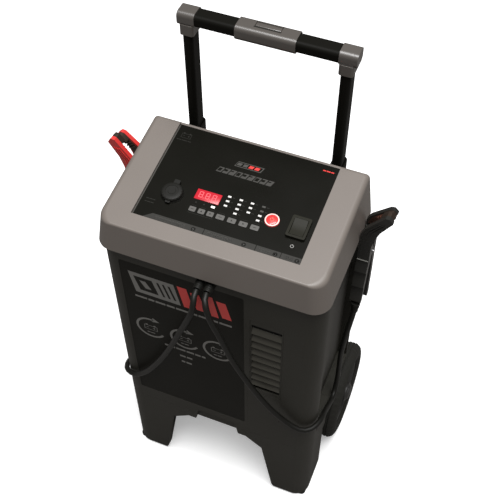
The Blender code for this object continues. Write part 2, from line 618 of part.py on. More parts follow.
# ---------------------------------------------------------------- wheels
def make_wheels():
    y = at_depth(WHEEL_DEPTH)
    half = (WHEEL_OUTER - WHEEL_INNER) / 2
    for side, sign in SIDES:
        centre = (sign * (WHEEL_INNER + half), y, WHEEL_R)
        tyre = [(HUB_R, half - 0.006), (HUB_R + 0.014, half), (WHEEL_R - 0.010, half - 0.002),
                (WHEEL_R - 0.003, half - 0.008), (WHEEL_R, 0.006), (WHEEL_R, -0.006),
                (WHEEL_R - 0.003, -half + 0.008), (WHEEL_R - 0.010, -half + 0.002),
                (HUB_R + 0.014, -half), (HUB_R, -half + 0.006)]
        turned(f"tyre_{side}", tyre, TYRE, "X", centre, steps=36, closed=True)
        bore = AXLE_R + 0.0003
        rim = HUB_R - GAP
        hub = [(bore, half - 0.001), (0.020, half - 0.001), (0.020, 0.006), (rim - 0.012, 0.006),
               (rim - 0.007, half - 0.007), (rim, half - 0.007), (rim, -half + 0.007),
               (rim - 0.007, -half + 0.007), (rim - 0.012, -0.006), (0.020, -0.006),
               (0.020, -half + 0.001), (bore, -half + 0.001)]
        hub_item = turned(f"hub_{side}", hub, HUB_BLACK, "X", centre, steps=36, closed=True)
        for index in range(5):
            angle = 2 * math.pi * index / 5
            spot = (centre[0], y + 0.041 * math.cos(angle), WHEEL_R + 0.041 * math.sin(angle))
            cut(hub_item, cylinder(f"hub_window_{side}_{index}", spot, 0.013, 0.060, "X", cutter=True,
                                   sides=18))
        cap_start = WHEEL_OUTER - 0.001 + GAP
        cap = [(0, 0.0050), (0.0130, 0.0040), (0.0160, 0.0), (0, 0.0)]
        cap_item = turned(f"wheel_cap_{side}", cap, HUB_BLACK, "X", steps=24)
        cap_item.matrix_world = (Matrix.Translation((sign * cap_start, y, WHEEL_R))
                                 @ Matrix.Rotation(math.radians(90 * sign), 4, "Y"))
    cylinder("axle", (0, y, WHEEL_R), AXLE_R, 2 * (WHEEL_OUTER - 0.0015), "X", STEEL, sides=24)
    carrier = block("axle_carrier", (-0.158, y - 0.032, 0.078), (0.158, y + 0.010, BASE_UNDERSIDE_Z - GAP),
                    CASE_BLACK)
    cut(carrier, block("carrier_gap", (-0.146, y - 0.050, 0.060), (0.146, y + 0.050, 0.140), cutter=True),
        cylinder("carrier_bore", (0, y, WHEEL_R), AXLE_R + 0.0003, 0.400, "X", cutter=True, sides=24))


def make_feet():
    for side, sign in SIDES:
        inner, outer = sorted((sign * 0.1245, sign * 0.1870))
        block(f"foot_pad_{side}", (inner, at_depth(0.010), 0.0),
              (outer, at_depth(LEG_WALL_REAR + 0.010), 0.0060 - GAP), RUBBER, rounds=(("Z", 0.008, 3),))


# ---------------------------------------------------------------- battery clamps
# Outlines are measured from the pivot: x outwards or distance from the clamp's middle plane, then height.
JAW_OUTLINE = [(-0.0098, 0.030), (-0.0098, 0.056), (-0.004, 0.070), (0.0245, 0.106), (0.031, 0.107),
               (0.0375, 0.098), (0.0205, 0.070), (0.0135, 0.050), (0.0098, 0.030)]
TIP_OUTLINE = [(0.0155, 0.0935), (0.0247, 0.1052), (0.0308, 0.1061), (0.0369, 0.0979), (0.0283, 0.0840)]
JAW_INSIDE = 0.0125          # the jaw's inner face, from the middle plane
JAW_OUTSIDE = 0.0200
REAR_JAW_SCALE = 0.74         # how far the rear jaw rises above its root, against the front one
FRONT_HANDLE = [(0.0120, 0.050), (0.0035, 0.014), (0.0035, -0.004), (0.0120, -0.040), (0.0225, -0.100),
                (0.0250, -0.1065), (0.0320, -0.1065), (0.0345, -0.100), (0.0275, -0.078), (0.0265, -0.068),
                (0.0310, -0.065), (0.0235, -0.043), (0.0225, -0.033), (0.0270, -0.030), (0.0205, -0.008),
                (0.0205, 0.050)]
REAR_HANDLE = [(0.0120, 0.050), (0.0035, 0.014), (0.0035, -0.004), (0.0100, -0.050), (0.0165, -0.140),
               (0.0190, -0.150), (0.0250, -0.151), (0.0285, -0.143), (0.0265, -0.080), (0.0215, -0.020),
               (0.0205, 0.050)]
EAR_R = 0.009
PIN_R = 0.003


def clamp_point(sign, x, y, z):
    """World place of a point given from the clamp's pivot, x outwards."""
    return (sign * (CLAMP_PIVOT[0] + x), at_depth(CLAMP_PIVOT[1]) + y, CLAMP_PIVOT[2] + z)


def x_span(sign, start, end):
    """World X limits of a slice of the clamp, measured outwards from its middle."""
    return sorted((sign * (CLAMP_PIVOT[0] + start), sign * (CLAMP_PIVOT[0] + end)))


def jaw_part(name, outline, sign, way, inside, outside):
    """A slice of a jaw: its outline seen from the front, thickened away from the middle plane."""
    y, z = at_depth(CLAMP_PIVOT[1]), CLAMP_PIVOT[2]
    return prism(name, [(sign * (CLAMP_PIVOT[0] + u), z + v) for u, v in outline], "XZ", y + way * inside,
                 y + way * outside, cutter=True)


def jaw_outline(outline, way):
    """The jaw's outline, or for the rear lever the same one cut down in height."""
    if way < 0:
        return outline
    root = 0.056
    return [(u, v if v < root else root + (v - root) * REAR_JAW_SCALE) for u, v in outline]


def make_lever(name, sign, way, handle, ears, shade):
    """One lever of a clamp: handle, pivot ears and jaw in one piece."""
    pivot_y, pivot_z = at_depth(CLAMP_PIVOT[1]), CLAMP_PIVOT[2]
    low, high = x_span(sign, -CLAMP_HALF, CLAMP_HALF)
    lever = prism(name, [(pivot_y + way * u, pivot_z + v) for u, v in handle], "YZ", low, high, shade)
    trim = block(name + "_trim", (-0.4, pivot_y - 0.1, pivot_z + 0.0435),
                 (0.4, pivot_y + 0.1, pivot_z + 0.2), cutter=True)
    cut(lever, trim)
    join(lever, jaw_part(name + "_jaw", jaw_outline(JAW_OUTLINE, way), sign, way, JAW_INSIDE, JAW_OUTSIDE),
         jaw_part(name + "_tip", jaw_outline(TIP_OUTLINE, way), sign, way, 0.0012, JAW_OUTSIDE - 0.004))
    room = cylinder(name + "_room", clamp_point(sign, 0, 0, 0), EAR_R + 0.0006,
                    2 * CLAMP_HALF + 0.010 if way > 0 else 2 * ears[0][0] + 0.0004, "X", cutter=True,
                    sides=28)
    cut(lever, room)
    for number, (start, end) in enumerate(ears):
        low, high = x_span(sign, start, end)
        disc = cylinder(f"{name}_ear_{number}", ((low + high) / 2, pivot_y, pivot_z), EAR_R, high - low, "X",
                        cutter=True, sides=28)
        near, far = sorted((pivot_y, pivot_y + way * 0.0125))
        web = block(f"{name}_web_{number}", (low + 0.0002, near, pivot_z - 0.0075),
                    (high - 0.0002, far, pivot_z + 0.0075), cutter=True)
        join(lever, disc, web)
    cut(lever, cylinder(name + "_bore", clamp_point(sign, 0, 0, 0), PIN_R + 0.0003, 0.080, "X", cutter=True,
                        sides=20))
    set_origin(lever, clamp_point(sign, 0, 0, 0))
    return lever


def make_clamp(side, sign, shade):
    front_ears = ((0.0075, CLAMP_HALF - GAP), (GAP - CLAMP_HALF, -0.0075))
    rear_ears = ((0.0045, 0.0072), (-0.0072, -0.0045))
    make_lever(f"clamp_front_lever_{side}", sign, -1, FRONT_HANDLE, front_ears, shade)
    make_lever(f"clamp_rear_lever_{side}", sign, 1, REAR_HANDLE, rear_ears, shade)
    cylinder(f"clamp_pin_{side}", clamp_point(sign, -0.0063, 0, 0), PIN_R, 0.0366, "X", STEEL, sides=20)
    coil = [(0.0078, 0.0042), (0.0078, -0.0042), (0.0042, -0.0042), (0.0042, 0.0042)]
    turned(f"clamp_spring_{side}", coil, STEEL, "X", clamp_point(sign, 0, 0, 0), steps=24, closed=True)


def make_clamp_holder(side, sign):
    """Bracket in the recess whose open slot carries the inner end of the clamp's pivot pin."""
    x0, x1 = sorted((sign * (RECESS_X + GAP), sign * 0.1935))
    y, z = at_depth(CLAMP_PIVOT[1]), CLAMP_PIVOT[2]
    holder = block(f"clamp_holder_{side}", (x0, y - 0.013, z - 0.030), (x1, y + 0.013, z + 0.008),
                   CASE_BLACK, rounds=(("X", 0.004, 2),))
    cut(holder, cylinder(f"holder_seat_{side}", (sign * 0.185, y, z), PIN_R + 0.0003, 0.060, "X",
                         cutter=True, sides=20),
        block(f"holder_mouth_{side}", (x0 - 0.01, y - PIN_R, z), (x1 + 0.01, y + PIN_R, z + 0.020),
              cutter=True))


# ---------------------------------------------------------------- output leads
# Routes as x, depth, height: out of the gland, across the front, round the corner and up to the clamp.
LEAD_LEFT = [(-0.0125, -0.0144, 0.650), (-0.0115, -0.024, 0.650), (-0.0095, -0.033, 0.643),
             (-0.0115, -0.0365, 0.624), (-0.019, -0.036, 0.600), (-0.044, -0.031, 0.531),
             (-0.066, -0.025, 0.470), (-0.093, -0.019, 0.405), (-0.126, -0.013, 0.340),
             (-0.155, -0.006, 0.299), (-0.173, -0.0015, 0.288), (-0.1874, 0.0094, 0.279),
             (-0.1962, 0.031, 0.265),
             (-0.1963, 0.058, 0.252), (-0.1966, 0.088, 0.240), (-0.198, 0.114, 0.238),
             (-0.1985, 0.132, 0.254),
             (-0.199, 0.139, 0.286), (-0.2000, 0.139, 0.335), (-0.2015, 0.136, 0.382),
             (-0.203, 0.136, 0.427), (-0.2045, 0.1395, 0.467), (-0.2055, 0.1455, 0.499),
             (-0.2055, 0.1475, 0.5215)]
LEAD_RIGHT = [(0.0045, -0.0144, 0.650), (0.0060, -0.024, 0.650), (0.0110, -0.033, 0.643),
              (0.0165, -0.0365, 0.625), (0.021, -0.036, 0.608), (0.032, -0.034, 0.574),
              (0.050, -0.028, 0.506), (0.070, -0.022, 0.450), (0.089, -0.017, 0.404), (0.115, -0.012, 0.356),
              (0.143, -0.007, 0.320), (0.171, -0.004, 0.303), (0.1885, 0.0085, 0.300), (0.197, 0.031, 0.298),
              (0.197, 0.057, 0.284), (0.197, 0.086, 0.263), (0.197, 0.112, 0.250), (0.1965, 0.129, 0.263),
              (0.1962, 0.136, 0.292), (0.1962, 0.135, 0.337), (0.1968, 0.132, 0.382), (0.1995, 0.133, 0.427),
              (0.2030, 0.1380, 0.467), (0.2055, 0.1455, 0.499), (0.2055, 0.1475, 0.5215)]


def smooth_route(points, spacing):
    """Evenly spaced points on a Catmull-Rom curve through a route's points."""
    knots = [Vector(p) for p in points]
    knots = [knots[0] * 2 - knots[1]] + knots + [knots[-1] * 2 - knots[-2]]
    fine = []
    for a, b, c, d in zip(knots, knots[1:], knots[2:], knots[3:]):
        for step in range(20):
            t = step / 20
            fine.append(0.5 * (2 * b + (c - a) * t + (2 * a - 5 * b + 4 * c - d) * t * t
                               + (3 * b - a - 3 * c + d) * t ** 3))
    fine.append(knots[-2])
    lengths = [0.0]
    for first, second in zip(fine, fine[1:]):
        lengths.append(lengths[-1] + (second - first).length)
    count = max(2, round(lengths[-1] / spacing))
    route, index = [], 0
    for step in range(count + 1):
        target = lengths[-1] * step / count
        while index < len(fine) - 2 and lengths[index + 1] < target:
            index += 1
        span = max(lengths[index + 1] - lengths[index], 1e-9)
        route.append(fine[index].lerp(fine[index + 1], min(1.0, (target - lengths[index]) / span)))
    return route


def make_lead(name, points, shade):
    route = smooth_route([(x, at_depth(depth), z) for x, depth, z in points], 0.016)
    curve = bpy.data.curves.new(name, "CURVE")
    curve.dimensions = "3D"
    curve.bevel_depth = LEAD_D / 2
    curve.bevel_resolution = 2
    curve.use_fill_caps = True
    spline = curve.splines.new("POLY")
    spline.points.add(len(route) - 1)
    for point, place in zip(spline.points, route):
        point.co = (*place, 1.0)
    item = bpy.data.objects.new(name, curve)
    curve.materials.append(shade)
    PARTS.objects.link(item)


# ---------------------------------------------------------------- inside the case
def make_internals(rear_shell):
    core = block("transformer_core", (-0.060, at_depth(0.070), SEAM_Z + 0.0005),
                 (0.060, at_depth(0.150), 0.312), CORE_STEEL)
    window = block("core_window", (-0.036, at_depth(0.050), 0.234), (0.036, at_depth(0.170), 0.292),
                   cutter=True)
    cut(core, window)
    limb = block("core_limb", (-0.012, at_depth(0.070), 0.220), (0.012, at_depth(0.150), 0.300), cutter=True)
    join(core, limb)
    coil = block("transformer_winding", (-0.034, at_depth(0.052), 0.238), (0.034, at_depth(0.168), 0.288),
                 COPPER, rounds=(("Z", 0.010, 3),))
    cut(coil, block("winding_core_room", (-0.0125, at_depth(0.0695), 0.200),
                    (0.0125, at_depth(0.1505), 0.330), cutter=True))
    sink = block("rectifier_heatsink", (-0.150, at_depth(0.080), 0.420), (-0.115, at_depth(0.180), 0.520),
                 ALUMINIUM)
    for index in range(6):
        y = at_depth(0.086 + index * 0.0160)
        cut(sink, block(f"fin_gap_{index}", (-0.160, y, 0.400), (-0.122, y + 0.0090, 0.540), cutter=True))
    rear = at_depth(BODY_REAR - WALL)
    fan_z = 0.520
    frame = block("fan_frame", (-0.045, rear - 0.026, fan_z - 0.045), (0.045, rear - GAP, fan_z + 0.045),
                  CASE_BLACK, rounds=(("Y", 0.006, 2),))
    cut(frame, cylinder("fan_bore", (0, rear - 0.016, fan_z), 0.0425, 0.0208, "Y", cutter=True, sides=36))
    cut(frame, cylinder("fan_throat", (0, rear - 0.003, fan_z), 0.0420, 0.010, "Y", cutter=True, sides=36))
    rotor = cylinder("fan_rotor", (0, rear - 0.016, fan_z), 0.0160, 0.0180, "Y", CASE_BLACK, sides=28)
    for index in range(7):
        blade = block(f"fan_blade_{index}", (-0.0012, -0.0070, 0.0140), (0.0012, 0.0070, 0.0400),
                      cutter=True)
        blade.matrix_world = (Matrix.Translation((0, rear - 0.016, fan_z))
                              @ Matrix.Rotation(2 * math.pi * index / 7, 4, "Y")
                              @ Matrix.Rotation(math.radians(35), 4, "Z"))
        join(rotor, blade)
    set_origin(rotor, (0, rear - 0.016, fan_z))
    for index in range(7):
        z = fan_z - 0.036 + index * 0.012
        half = math.sqrt(0.041 ** 2 - (z - fan_z) ** 2) if abs(z - fan_z) < 0.04 else 0.012
        cut(rear_shell, block(f"fan_slot_{index}", (-half, rear - 0.005, z - 0.003),
                              (half, rear + 0.020, z + 0.003), cutter=True))
    x = 0.075
    cut(rear_shell, block("inlet_window", (x - 0.0140, rear - 0.010, 0.268),
                          (x + 0.0140, rear + 0.020, 0.292), cutter=True))
    inlet = block("mains_inlet", (x - 0.0137, rear - 0.024, 0.2683), (x + 0.0137, rear + 0.0050, 0.2917),
                  RUBBER)
    flange = block("inlet_flange", (x - 0.0250, rear + WALL + GAP, 0.2660),
                   (x + 0.0250, rear + WALL + 0.0025, 0.2940), cutter=True)
    socket = block("inlet_socket", (x - 0.0120, rear - 0.014, 0.2700), (x + 0.0120, rear + 0.020, 0.2900),
                   cutter=True)
    join(inlet, flange)
    cut(inlet, socket)


SIDES = (("left", -1), ("right", 1))


def main():
    front_shell, rear_shell = make_shells()
    base, notch = make_base()
    make_lid()
    make_front_fittings(front_shell, notch)
    frame = panel_frame()
    make_panel(frame)
    make_panel_controls(frame)
    make_handle()
    make_wheels()
    make_feet()
    for side, sign, shade in (("left", -1, CLAMP_RED), ("right", 1, CLAMP_BLACK)):
        make_clamp(side, sign, shade)
        make_clamp_holder(side, sign)
    make_lead("lead_left", LEAD_LEFT, RUBBER)
    make_lead("lead_right", LEAD_RIGHT, RUBBER)
    make_internals(rear_shell)


main()
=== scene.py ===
"""The looks of the wheeled battery charger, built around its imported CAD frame.

Everything is in metres in the row frame: +Z up, the charger faces -Y.  "depth" is the distance
behind the lid's front top edge, and D() turns it into Y.
"""

import math

import bmesh
import bpy
from mathutils import Matrix, Vector


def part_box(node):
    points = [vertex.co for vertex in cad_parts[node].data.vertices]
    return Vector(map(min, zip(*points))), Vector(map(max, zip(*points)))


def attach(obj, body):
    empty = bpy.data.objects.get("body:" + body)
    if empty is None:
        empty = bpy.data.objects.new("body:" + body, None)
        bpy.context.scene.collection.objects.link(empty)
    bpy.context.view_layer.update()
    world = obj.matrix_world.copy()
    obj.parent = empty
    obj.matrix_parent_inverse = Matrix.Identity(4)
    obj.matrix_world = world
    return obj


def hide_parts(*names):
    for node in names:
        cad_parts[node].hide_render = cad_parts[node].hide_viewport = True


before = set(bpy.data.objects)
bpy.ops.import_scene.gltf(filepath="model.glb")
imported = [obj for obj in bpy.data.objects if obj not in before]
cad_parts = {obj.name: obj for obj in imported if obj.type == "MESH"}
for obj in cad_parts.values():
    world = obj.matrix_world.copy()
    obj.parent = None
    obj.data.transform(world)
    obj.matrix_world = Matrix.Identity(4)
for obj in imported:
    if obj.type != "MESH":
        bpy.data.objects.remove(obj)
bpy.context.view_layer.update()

# GAP parts two pieces that touch, FAR reaches past the whole charger, and edges over SHARP stay sharp.
GAP = 0.0003
FAR = 0.3
SHARP = math.radians(38)

# ---------------- sizes, as in the CAD
LID_FLARE = 0.0055
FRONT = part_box("lid")[0].y + LID_FLARE
BODY_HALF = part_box("front_shell")[1].x
BODY_FRONT = 0.003
BODY_REAR = 0.2305
BODY_SPLIT = 0.118
BODY_CORNER = 0.03
CASE_TOP_Z = 0.6718
WALL = 0.0035
SEAM_Z = 0.21
LID_BOTTOM_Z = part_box("lid")[0].z
LID_FRONT_Z = 0.729
LID_SLOPE = math.radians(7.23)
LID_TOP_HALF = 0.185
LID_BOTTOM_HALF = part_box("lid")[1].x
LID_TOP_DEPTH = 0.222
LID_CORNER = 0.026
LID_SIDE_ROUND = 0.0095
LID_FRONT_ROUND = 0.0032
LID_LEVELS = 6
PANEL_HALF = 0.137
PANEL_NEAR = 0.03
PANEL_FAR = 0.217
PANEL_DROP = 0.004
WHEEL_R = 0.103
WHEEL_DEPTH = 0.217
WHEEL_INNER = 0.168
WHEEL_OUTER = 0.208
HUB_R = 0.072
HUB_WINDOWS = 5
TUBE_X = 0.124
TUBE_DEPTH = 0.249
CROSSBAR_Z = 0.947
GRIP_HALF = 0.0122
COLLAR_Z = 0.9215
CAP_BOTTOM_Z = 0.9355
TUBE_TOP_Z = 0.934
RECESS_X = 0.172
CLAMP_PIVOT = (0.2045, 0.176, 0.632)
CLAMP_HALF = 0.01
LEAD_D = 0.01
GLAND_Z = 0.65
SIDES = (("left", -1), ("right", 1))


def D(depth):
    """Y of a depth behind the lid's front top edge."""
    return FRONT + depth


def lid_z(depth):
    """Height of the lid's top face at a depth."""
    return LID_FRONT_Z + math.tan(LID_SLOPE) * depth


PANEL = Matrix.Translation((0, FRONT, LID_FRONT_Z - PANEL_DROP)) @ Matrix.Rotation(LID_SLOPE, 4, "X")
LABEL = Matrix(((1, 0, 0, 0), (0, 0, -1, D(BODY_FRONT) + GAP), (0, 1, 0, 0), (0, 0, 0, 1)))


def on_panel(x, v, height=0.0):
    """Where a control sits: x across and v up the control panel, height above its face."""
    return PANEL @ Matrix.Translation((x, v, height))


def settle(item, body, node=None):
    """Attach a piece to the body it rides on, and hide the CAD node it replaces."""
    if node:
        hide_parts(node)
    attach(item, body)


# ---------------- materials
def set_inputs(node, values):
    for label, value in values.items():
        node.inputs[label].default_value = value


def principled(name, colour, roughness, metallic=0.0, coat=0.0, emission=None, strength=0.0,
               specular=0.5):
    shade = bpy.data.materials.new(name)
    shade.use_nodes = True
    bsdf = shade.node_tree.nodes["Principled BSDF"]
    set_inputs(bsdf, {"Base Color": (*colour, 1), "Roughness": roughness, "Metallic": metallic,
                      "Coat Weight": coat, "Specular IOR Level": specular})
    if emission:
        set_inputs(bsdf, {"Emission Color": (*emission, 1), "Emission Strength": strength})
    return shade


def textured(name, colour, roughness, grain, bump, spread=0.15, metallic=0.0, coat=0.0,
             stretch=(1, 1, 1), specular=0.5):
    """A Principled surface with a fine moulded grain and a slight unevenness of tone and gloss."""
    shade = principled(name, colour, roughness, metallic, coat, specular=specular)
    nodes, links = shade.node_tree.nodes, shade.node_tree.links

    def add(kind, values):
        node = nodes.new("ShaderNode" + kind)
        set_inputs(node, values)
        return node

    bsdf = nodes["Principled BSDF"]
    spot = add("TexCoord", {})
    mapping = add("Mapping", {"Scale": stretch})
    fine = add("TexNoise", {"Scale": grain, "Detail": 3})
    broad = add("TexNoise", {"Scale": 9, "Detail": 4})
    relief = add("Bump", {"Strength": bump, "Distance": 0.0004})
    tone = add("MapRange", {"To Min": 1 - spread, "To Max": 1 + spread})
    gloss = add("MapRange", {"To Min": max(0.0, roughness - 0.06), "To Max": roughness + 0.06})
    tint = nodes.new("ShaderNodeMix")
    tint.data_type = "RGBA"
    tint.blend_type = "MULTIPLY"
    set_inputs(tint, {"Factor": 1.0, "A": (*colour, 1)})
    for source, output, target, label in (
            (spot, "Object", mapping, "Vector"), (mapping, "Vector", fine, "Vector"),
            (mapping, "Vector", broad, "Vector"), (fine, "Fac", relief, "Height"),
            (relief, "Normal", bsdf, "Normal"), (broad, "Fac", tone, "Value"),
            (tone, "Result", tint, "B"), (tint, "Result", bsdf, "Base Color"),
            (broad, "Fac", gloss, "Value"), (gloss, "Result", bsdf, "Roughness")):
        links.new(source.outputs[output], target.inputs[label])
    return shade


def dull_ink(name, colour, roughness=0.45, specular=0.2):
    return principled(name, colour, roughness, specular=specular)


CASE = textured("case_black", (0.0225, 0.0212, 0.0158), 0.5, 1400, 0.22, 0.1, specular=0.28)
# The slats are the case's black plastic painted about twice as light: a painted highlight for the top light
# their tilted faces catch.
SLAT_PAINTED_HIGHLIGHT = textured("slat_black", (0.05, 0.047, 0.038), 0.5, 1400, 0.12, 0.08, specular=0.3)
GREY = textured("lid_grey", (0.157, 0.136, 0.121), 0.46, 1600, 0.12, 0.05)
DARK_GREY = textured("handle_grey", (0.072, 0.064, 0.057), 0.36, 1500, 0.12, 0.05, specular=0.9)
PANEL_BLACK = textured("panel_overlay", (0.0048, 0.0046, 0.0032), 0.3, 700, 0.01, 0.1, specular=0.16)
LABEL_BLACK = textured("label_overlay", (0.0098, 0.0093, 0.007), 0.46, 700, 0.03, 0.1, specular=0.08)
INK_GREY = dull_ink("ink_grey", (0.06, 0.058, 0.053))
INK_TITLE = dull_ink("ink_title", (0.048, 0.046, 0.042))
# Grey for a strip down the panel's left edge: painted shade of the lid pocket's left wall.
POCKET_WALL_SHADE = dull_ink("edge_grey", (0.052, 0.049, 0.044), 0.6)
INK_LABEL = dull_ink("ink_label", (0.2, 0.195, 0.185))
INK_LAMP = principled("ink_lamp", (0.6, 0.59, 0.57), 0.45)
INK_LIGHT = principled("ink_light", (0.25, 0.245, 0.235), 0.45)
# Dim ink for print on the panel and keys, also used for painted shadow lines beside the release button.
DIM_INK_AND_SHADE = dull_ink("ink_dim", (0.017, 0.0165, 0.014))
INK_RED = principled("ink_red", (0.62, 0.035, 0.03), 0.4)
STRIP_GREY = textured("strip_grey", (0.027, 0.026, 0.023), 0.5, 700, 0.03, 0.05, specular=0.2)
KEY_GREY = textured("key_grey", (0.08, 0.077, 0.071), 0.5, 1500, 0.1, 0.06)
WINDOW_RED = principled("window_red", (0.26, 0.006, 0.012), 0.3, coat=0.1,
                        emission=(1.0, 0.045, 0.075), strength=0.36)
SEGMENT = principled("segment", (0.5, 0.08, 0.09), 0.3, emission=(1.0, 0.16, 0.19), strength=0.5)
LAMP_ON = principled("lamp_on", (0.9, 0.9, 0.9), 0.2, emission=(1.0, 1.0, 0.95), strength=1.4)
BUTTON_RED = principled("button_red", (0.75, 0.035, 0.035), 0.28, coat=0.4,
                        emission=(1.0, 0.05, 0.04), strength=0.14)
MARK_PINK = principled("mark_pink", (0.75, 0.2, 0.15), 0.4)
RING_PINK = principled("ring_pink", (0.95, 0.62, 0.58), 0.35)
RUBBER = textured("rubber", (0.0085, 0.0082, 0.0068), 0.55, 900, 0.2, 0.12, specular=0.2)
CABLE = textured("cable", (0.0075, 0.0073, 0.006), 0.48, 500, 0.08, 0.12, specular=0.26)
SWITCH = textured("switch", (0.015, 0.0145, 0.01), 0.48, 1500, 0.06, 0.08, specular=0.12)
TYRE = textured("tyre", (0.017, 0.0165, 0.0135), 0.78, 500, 0.45, 0.2, specular=0.3)
HUB = textured("hub_black", (0.028, 0.027, 0.026), 0.42, 1200, 0.12, 0.1)
TUBE = textured("tube_black", (0.0056, 0.0053, 0.0041), 0.52, 1800, 0.1, 0.08, specular=0.07)
STEEL = textured("steel", (0.55, 0.55, 0.56), 0.3, 300, 0.1, 0.1, metallic=1.0, stretch=(1, 1, 12))
DULL_STEEL = principled("dull_steel", (0.13, 0.127, 0.115), 0.5, specular=0.3)
CLAMP_RED = textured("clamp_red", (0.56, 0.034, 0.03), 0.36, 900, 0.08, 0.08, coat=0.2)
CLAMP_BLACK = textured("clamp_black", (0.016, 0.0155, 0.0135), 0.38, 900, 0.1, 0.1, specular=0.4)
COPPER = textured("copper", (0.55, 0.34, 0.27), 0.33, 400, 0.12, 0.14, metallic=1.0)
# Dark copper for both jaw tips, and for the left clamp's lining and teeth, where it is painted shade of the
# jaw's inside.
DARK_COPPER = textured("dark_copper", (0.045, 0.03, 0.022), 0.45, 400, 0.12, 0.14, metallic=0.6)
CORE = textured("core_steel", (0.16, 0.16, 0.17), 0.5, 300, 0.4, 0.15, metallic=0.8, stretch=(1, 30, 1))
WINDING = textured("winding", (0.6, 0.26, 0.12), 0.35, 120, 0.8, 0.1, metallic=0.8, stretch=(1, 1, 30))
BOARD = textured("board_green", (0.02, 0.13, 0.05), 0.4, 400, 0.1, 0.15, coat=0.3)
ALUMINIUM = textured("aluminium", (0.66, 0.66, 0.67), 0.35, 400, 0.08, 0.06, metallic=1.0,
                     stretch=(12, 1, 1))
# Near-black for the sheet behind the louvres, painted shade of the case's inside; helper solids carry it
# too.
DARK = principled("dark_inside", (0.006, 0.006, 0.006), 0.7)


# ---------------- mesh helpers
def add_object(name, data):
    item = bpy.data.objects.new(name, data)
    bpy.context.scene.collection.objects.link(item)
    return item


def link_mesh(name, bm, shade):
    bmesh.ops.recalc_face_normals(bm, faces=bm.faces)
    mesh = bpy.data.meshes.new(name)
    bm.to_mesh(mesh)
    bm.free()
    mesh.materials.append(shade)
    mesh.shade_smooth()
    mesh.set_sharp_from_angle(angle=SHARP)
    return add_object(name, mesh)


def block_bm(low, high):
    bm = bmesh.new()
    bmesh.ops.create_cube(bm, size=1.0)
    low, high = Vector(low), Vector(high)
    for vert in bm.verts:
        vert.co = Vector(c * s for c, s in zip(vert.co, high - low)) + (high + low) / 2
    return bm


def place(item, matrix):
    item.data.transform(matrix)
    return item


def block(name, low, high, shade=DARK, width=0.0, segments=2):
    """A box whose edges are rounded by width."""
    bm = block_bm(low, high)
    if width:
        bmesh.ops.bevel(bm, geom=list(bm.edges), offset=width, segments=segments, profile=0.5,
                        affect="EDGES")
    return link_mesh(name, bm, shade)


def prism(name, outline, plane, start, end, shade=DARK):
    """A flat outline in the XY, XZ or YZ plane, thickened from start to end."""
    axes = {"XY": ((1, 0, 0), (0, 1, 0), (0, 0, 1)), "XZ": ((1, 0, 0), (0, 0, 1), (0, 1, 0)),
            "YZ": ((0, 1, 0), (0, 0, 1), (1, 0, 0))}[plane]
    u, v, w = (Vector(axis) for axis in axes)
    bm = bmesh.new()
    rings = []
    for level in (start, end):
        rings.append([bm.verts.new(u * a + v * b + w * level) for a, b in outline])
    bm.faces.new(rings[0])
    bm.faces.new(rings[1])
    count = len(outline)
    for index in range(count):
        after = (index + 1) % count
        bm.faces.new((rings[0][index], rings[0][after], rings[1][after], rings[1][index]))
    return link_mesh(name, bm, shade)


def turn_to(axis):
    return {"X": Matrix.Rotation(math.radians(90), 4, "Y"), "-Y": Matrix.Rotation(math.radians(90), 4, "X"),
            "Y": Matrix.Rotation(math.radians(-90), 4, "X"), "Z": Matrix.Identity(4)}[axis]


def cylinder(name, centre, radius, length, axis="Z", shade=DARK, sides=48):
    bm = bmesh.new()
    bmesh.ops.create_cone(bm, cap_ends=True, segments=sides, radius1=radius, radius2=radius, depth=length)
    bmesh.ops.transform(bm, matrix=Matrix.Translation(centre) @ turn_to(axis), verts=bm.verts)
    return link_mesh(name, bm, shade)


def lathe(name, profile, shade, axis="Z", centre=(0, 0, 0), steps=72, closed=True, ripple=None):
    """A (radius, height) profile turned about its axis; ripple(step, radius, height) changes the radius."""
    bm = bmesh.new()
    rings = []
    for step in range(steps):
        angle = 2 * math.pi * step / steps
        ring = []
        for radius, height in profile:
            r = ripple(step, radius, height) if ripple else radius
            ring.append(bm.verts.new((r * math.cos(angle), r * math.sin(angle), height)))
        rings.append(ring)
    spans = len(profile) if closed else len(profile) - 1
    for step in range(steps):
        near, far = rings[step], rings[(step + 1) % steps]
        for index in range(spans):
            after = (index + 1) % len(profile)
            bm.faces.new((near[index], far[index], far[after], near[after]))
    bmesh.ops.remove_doubles(bm, verts=bm.verts, dist=1e-6)
    bmesh.ops.transform(bm, matrix=Matrix.Translation(centre) @ turn_to(axis), verts=bm.verts)
    return link_mesh(name, bm, shade)


def finish_piece(target, cutters=(), joins=(), width=0.0, segments=2):
    """Apply a piece's Booleans, round its edges and keep its flat faces flat; drop the helpers."""
    for operation, others in (("UNION", joins), ("DIFFERENCE", cutters)):
        for other in others:
            change = target.modifiers.new(operation.lower(), "BOOLEAN")
            change.operation = operation
            change.object = other
            change.solver = "EXACT"
    if width:
        bevel = target.modifiers.new("edges", "BEVEL")
        bevel.width = width
        bevel.segments = segments
        bevel.limit_method = "ANGLE"
        bevel.angle_limit = SHARP
        bevel.miter_outer = "MITER_ARC"
    bpy.context.view_layer.update()
    ready = bpy.data.meshes.new_from_object(target.evaluated_get(bpy.context.evaluated_depsgraph_get()))
    target.modifiers.clear()
    target.data = ready
    ready.shade_smooth()
    ready.set_sharp_from_angle(angle=SHARP)
    if width:
        flatten = target.modifiers.new("flat", "WEIGHTED_NORMAL")
        flatten.keep_sharp = True
    for helper in list(cutters) + list(joins):
        bpy.data.objects.remove(helper, do_unlink=True)
    return target


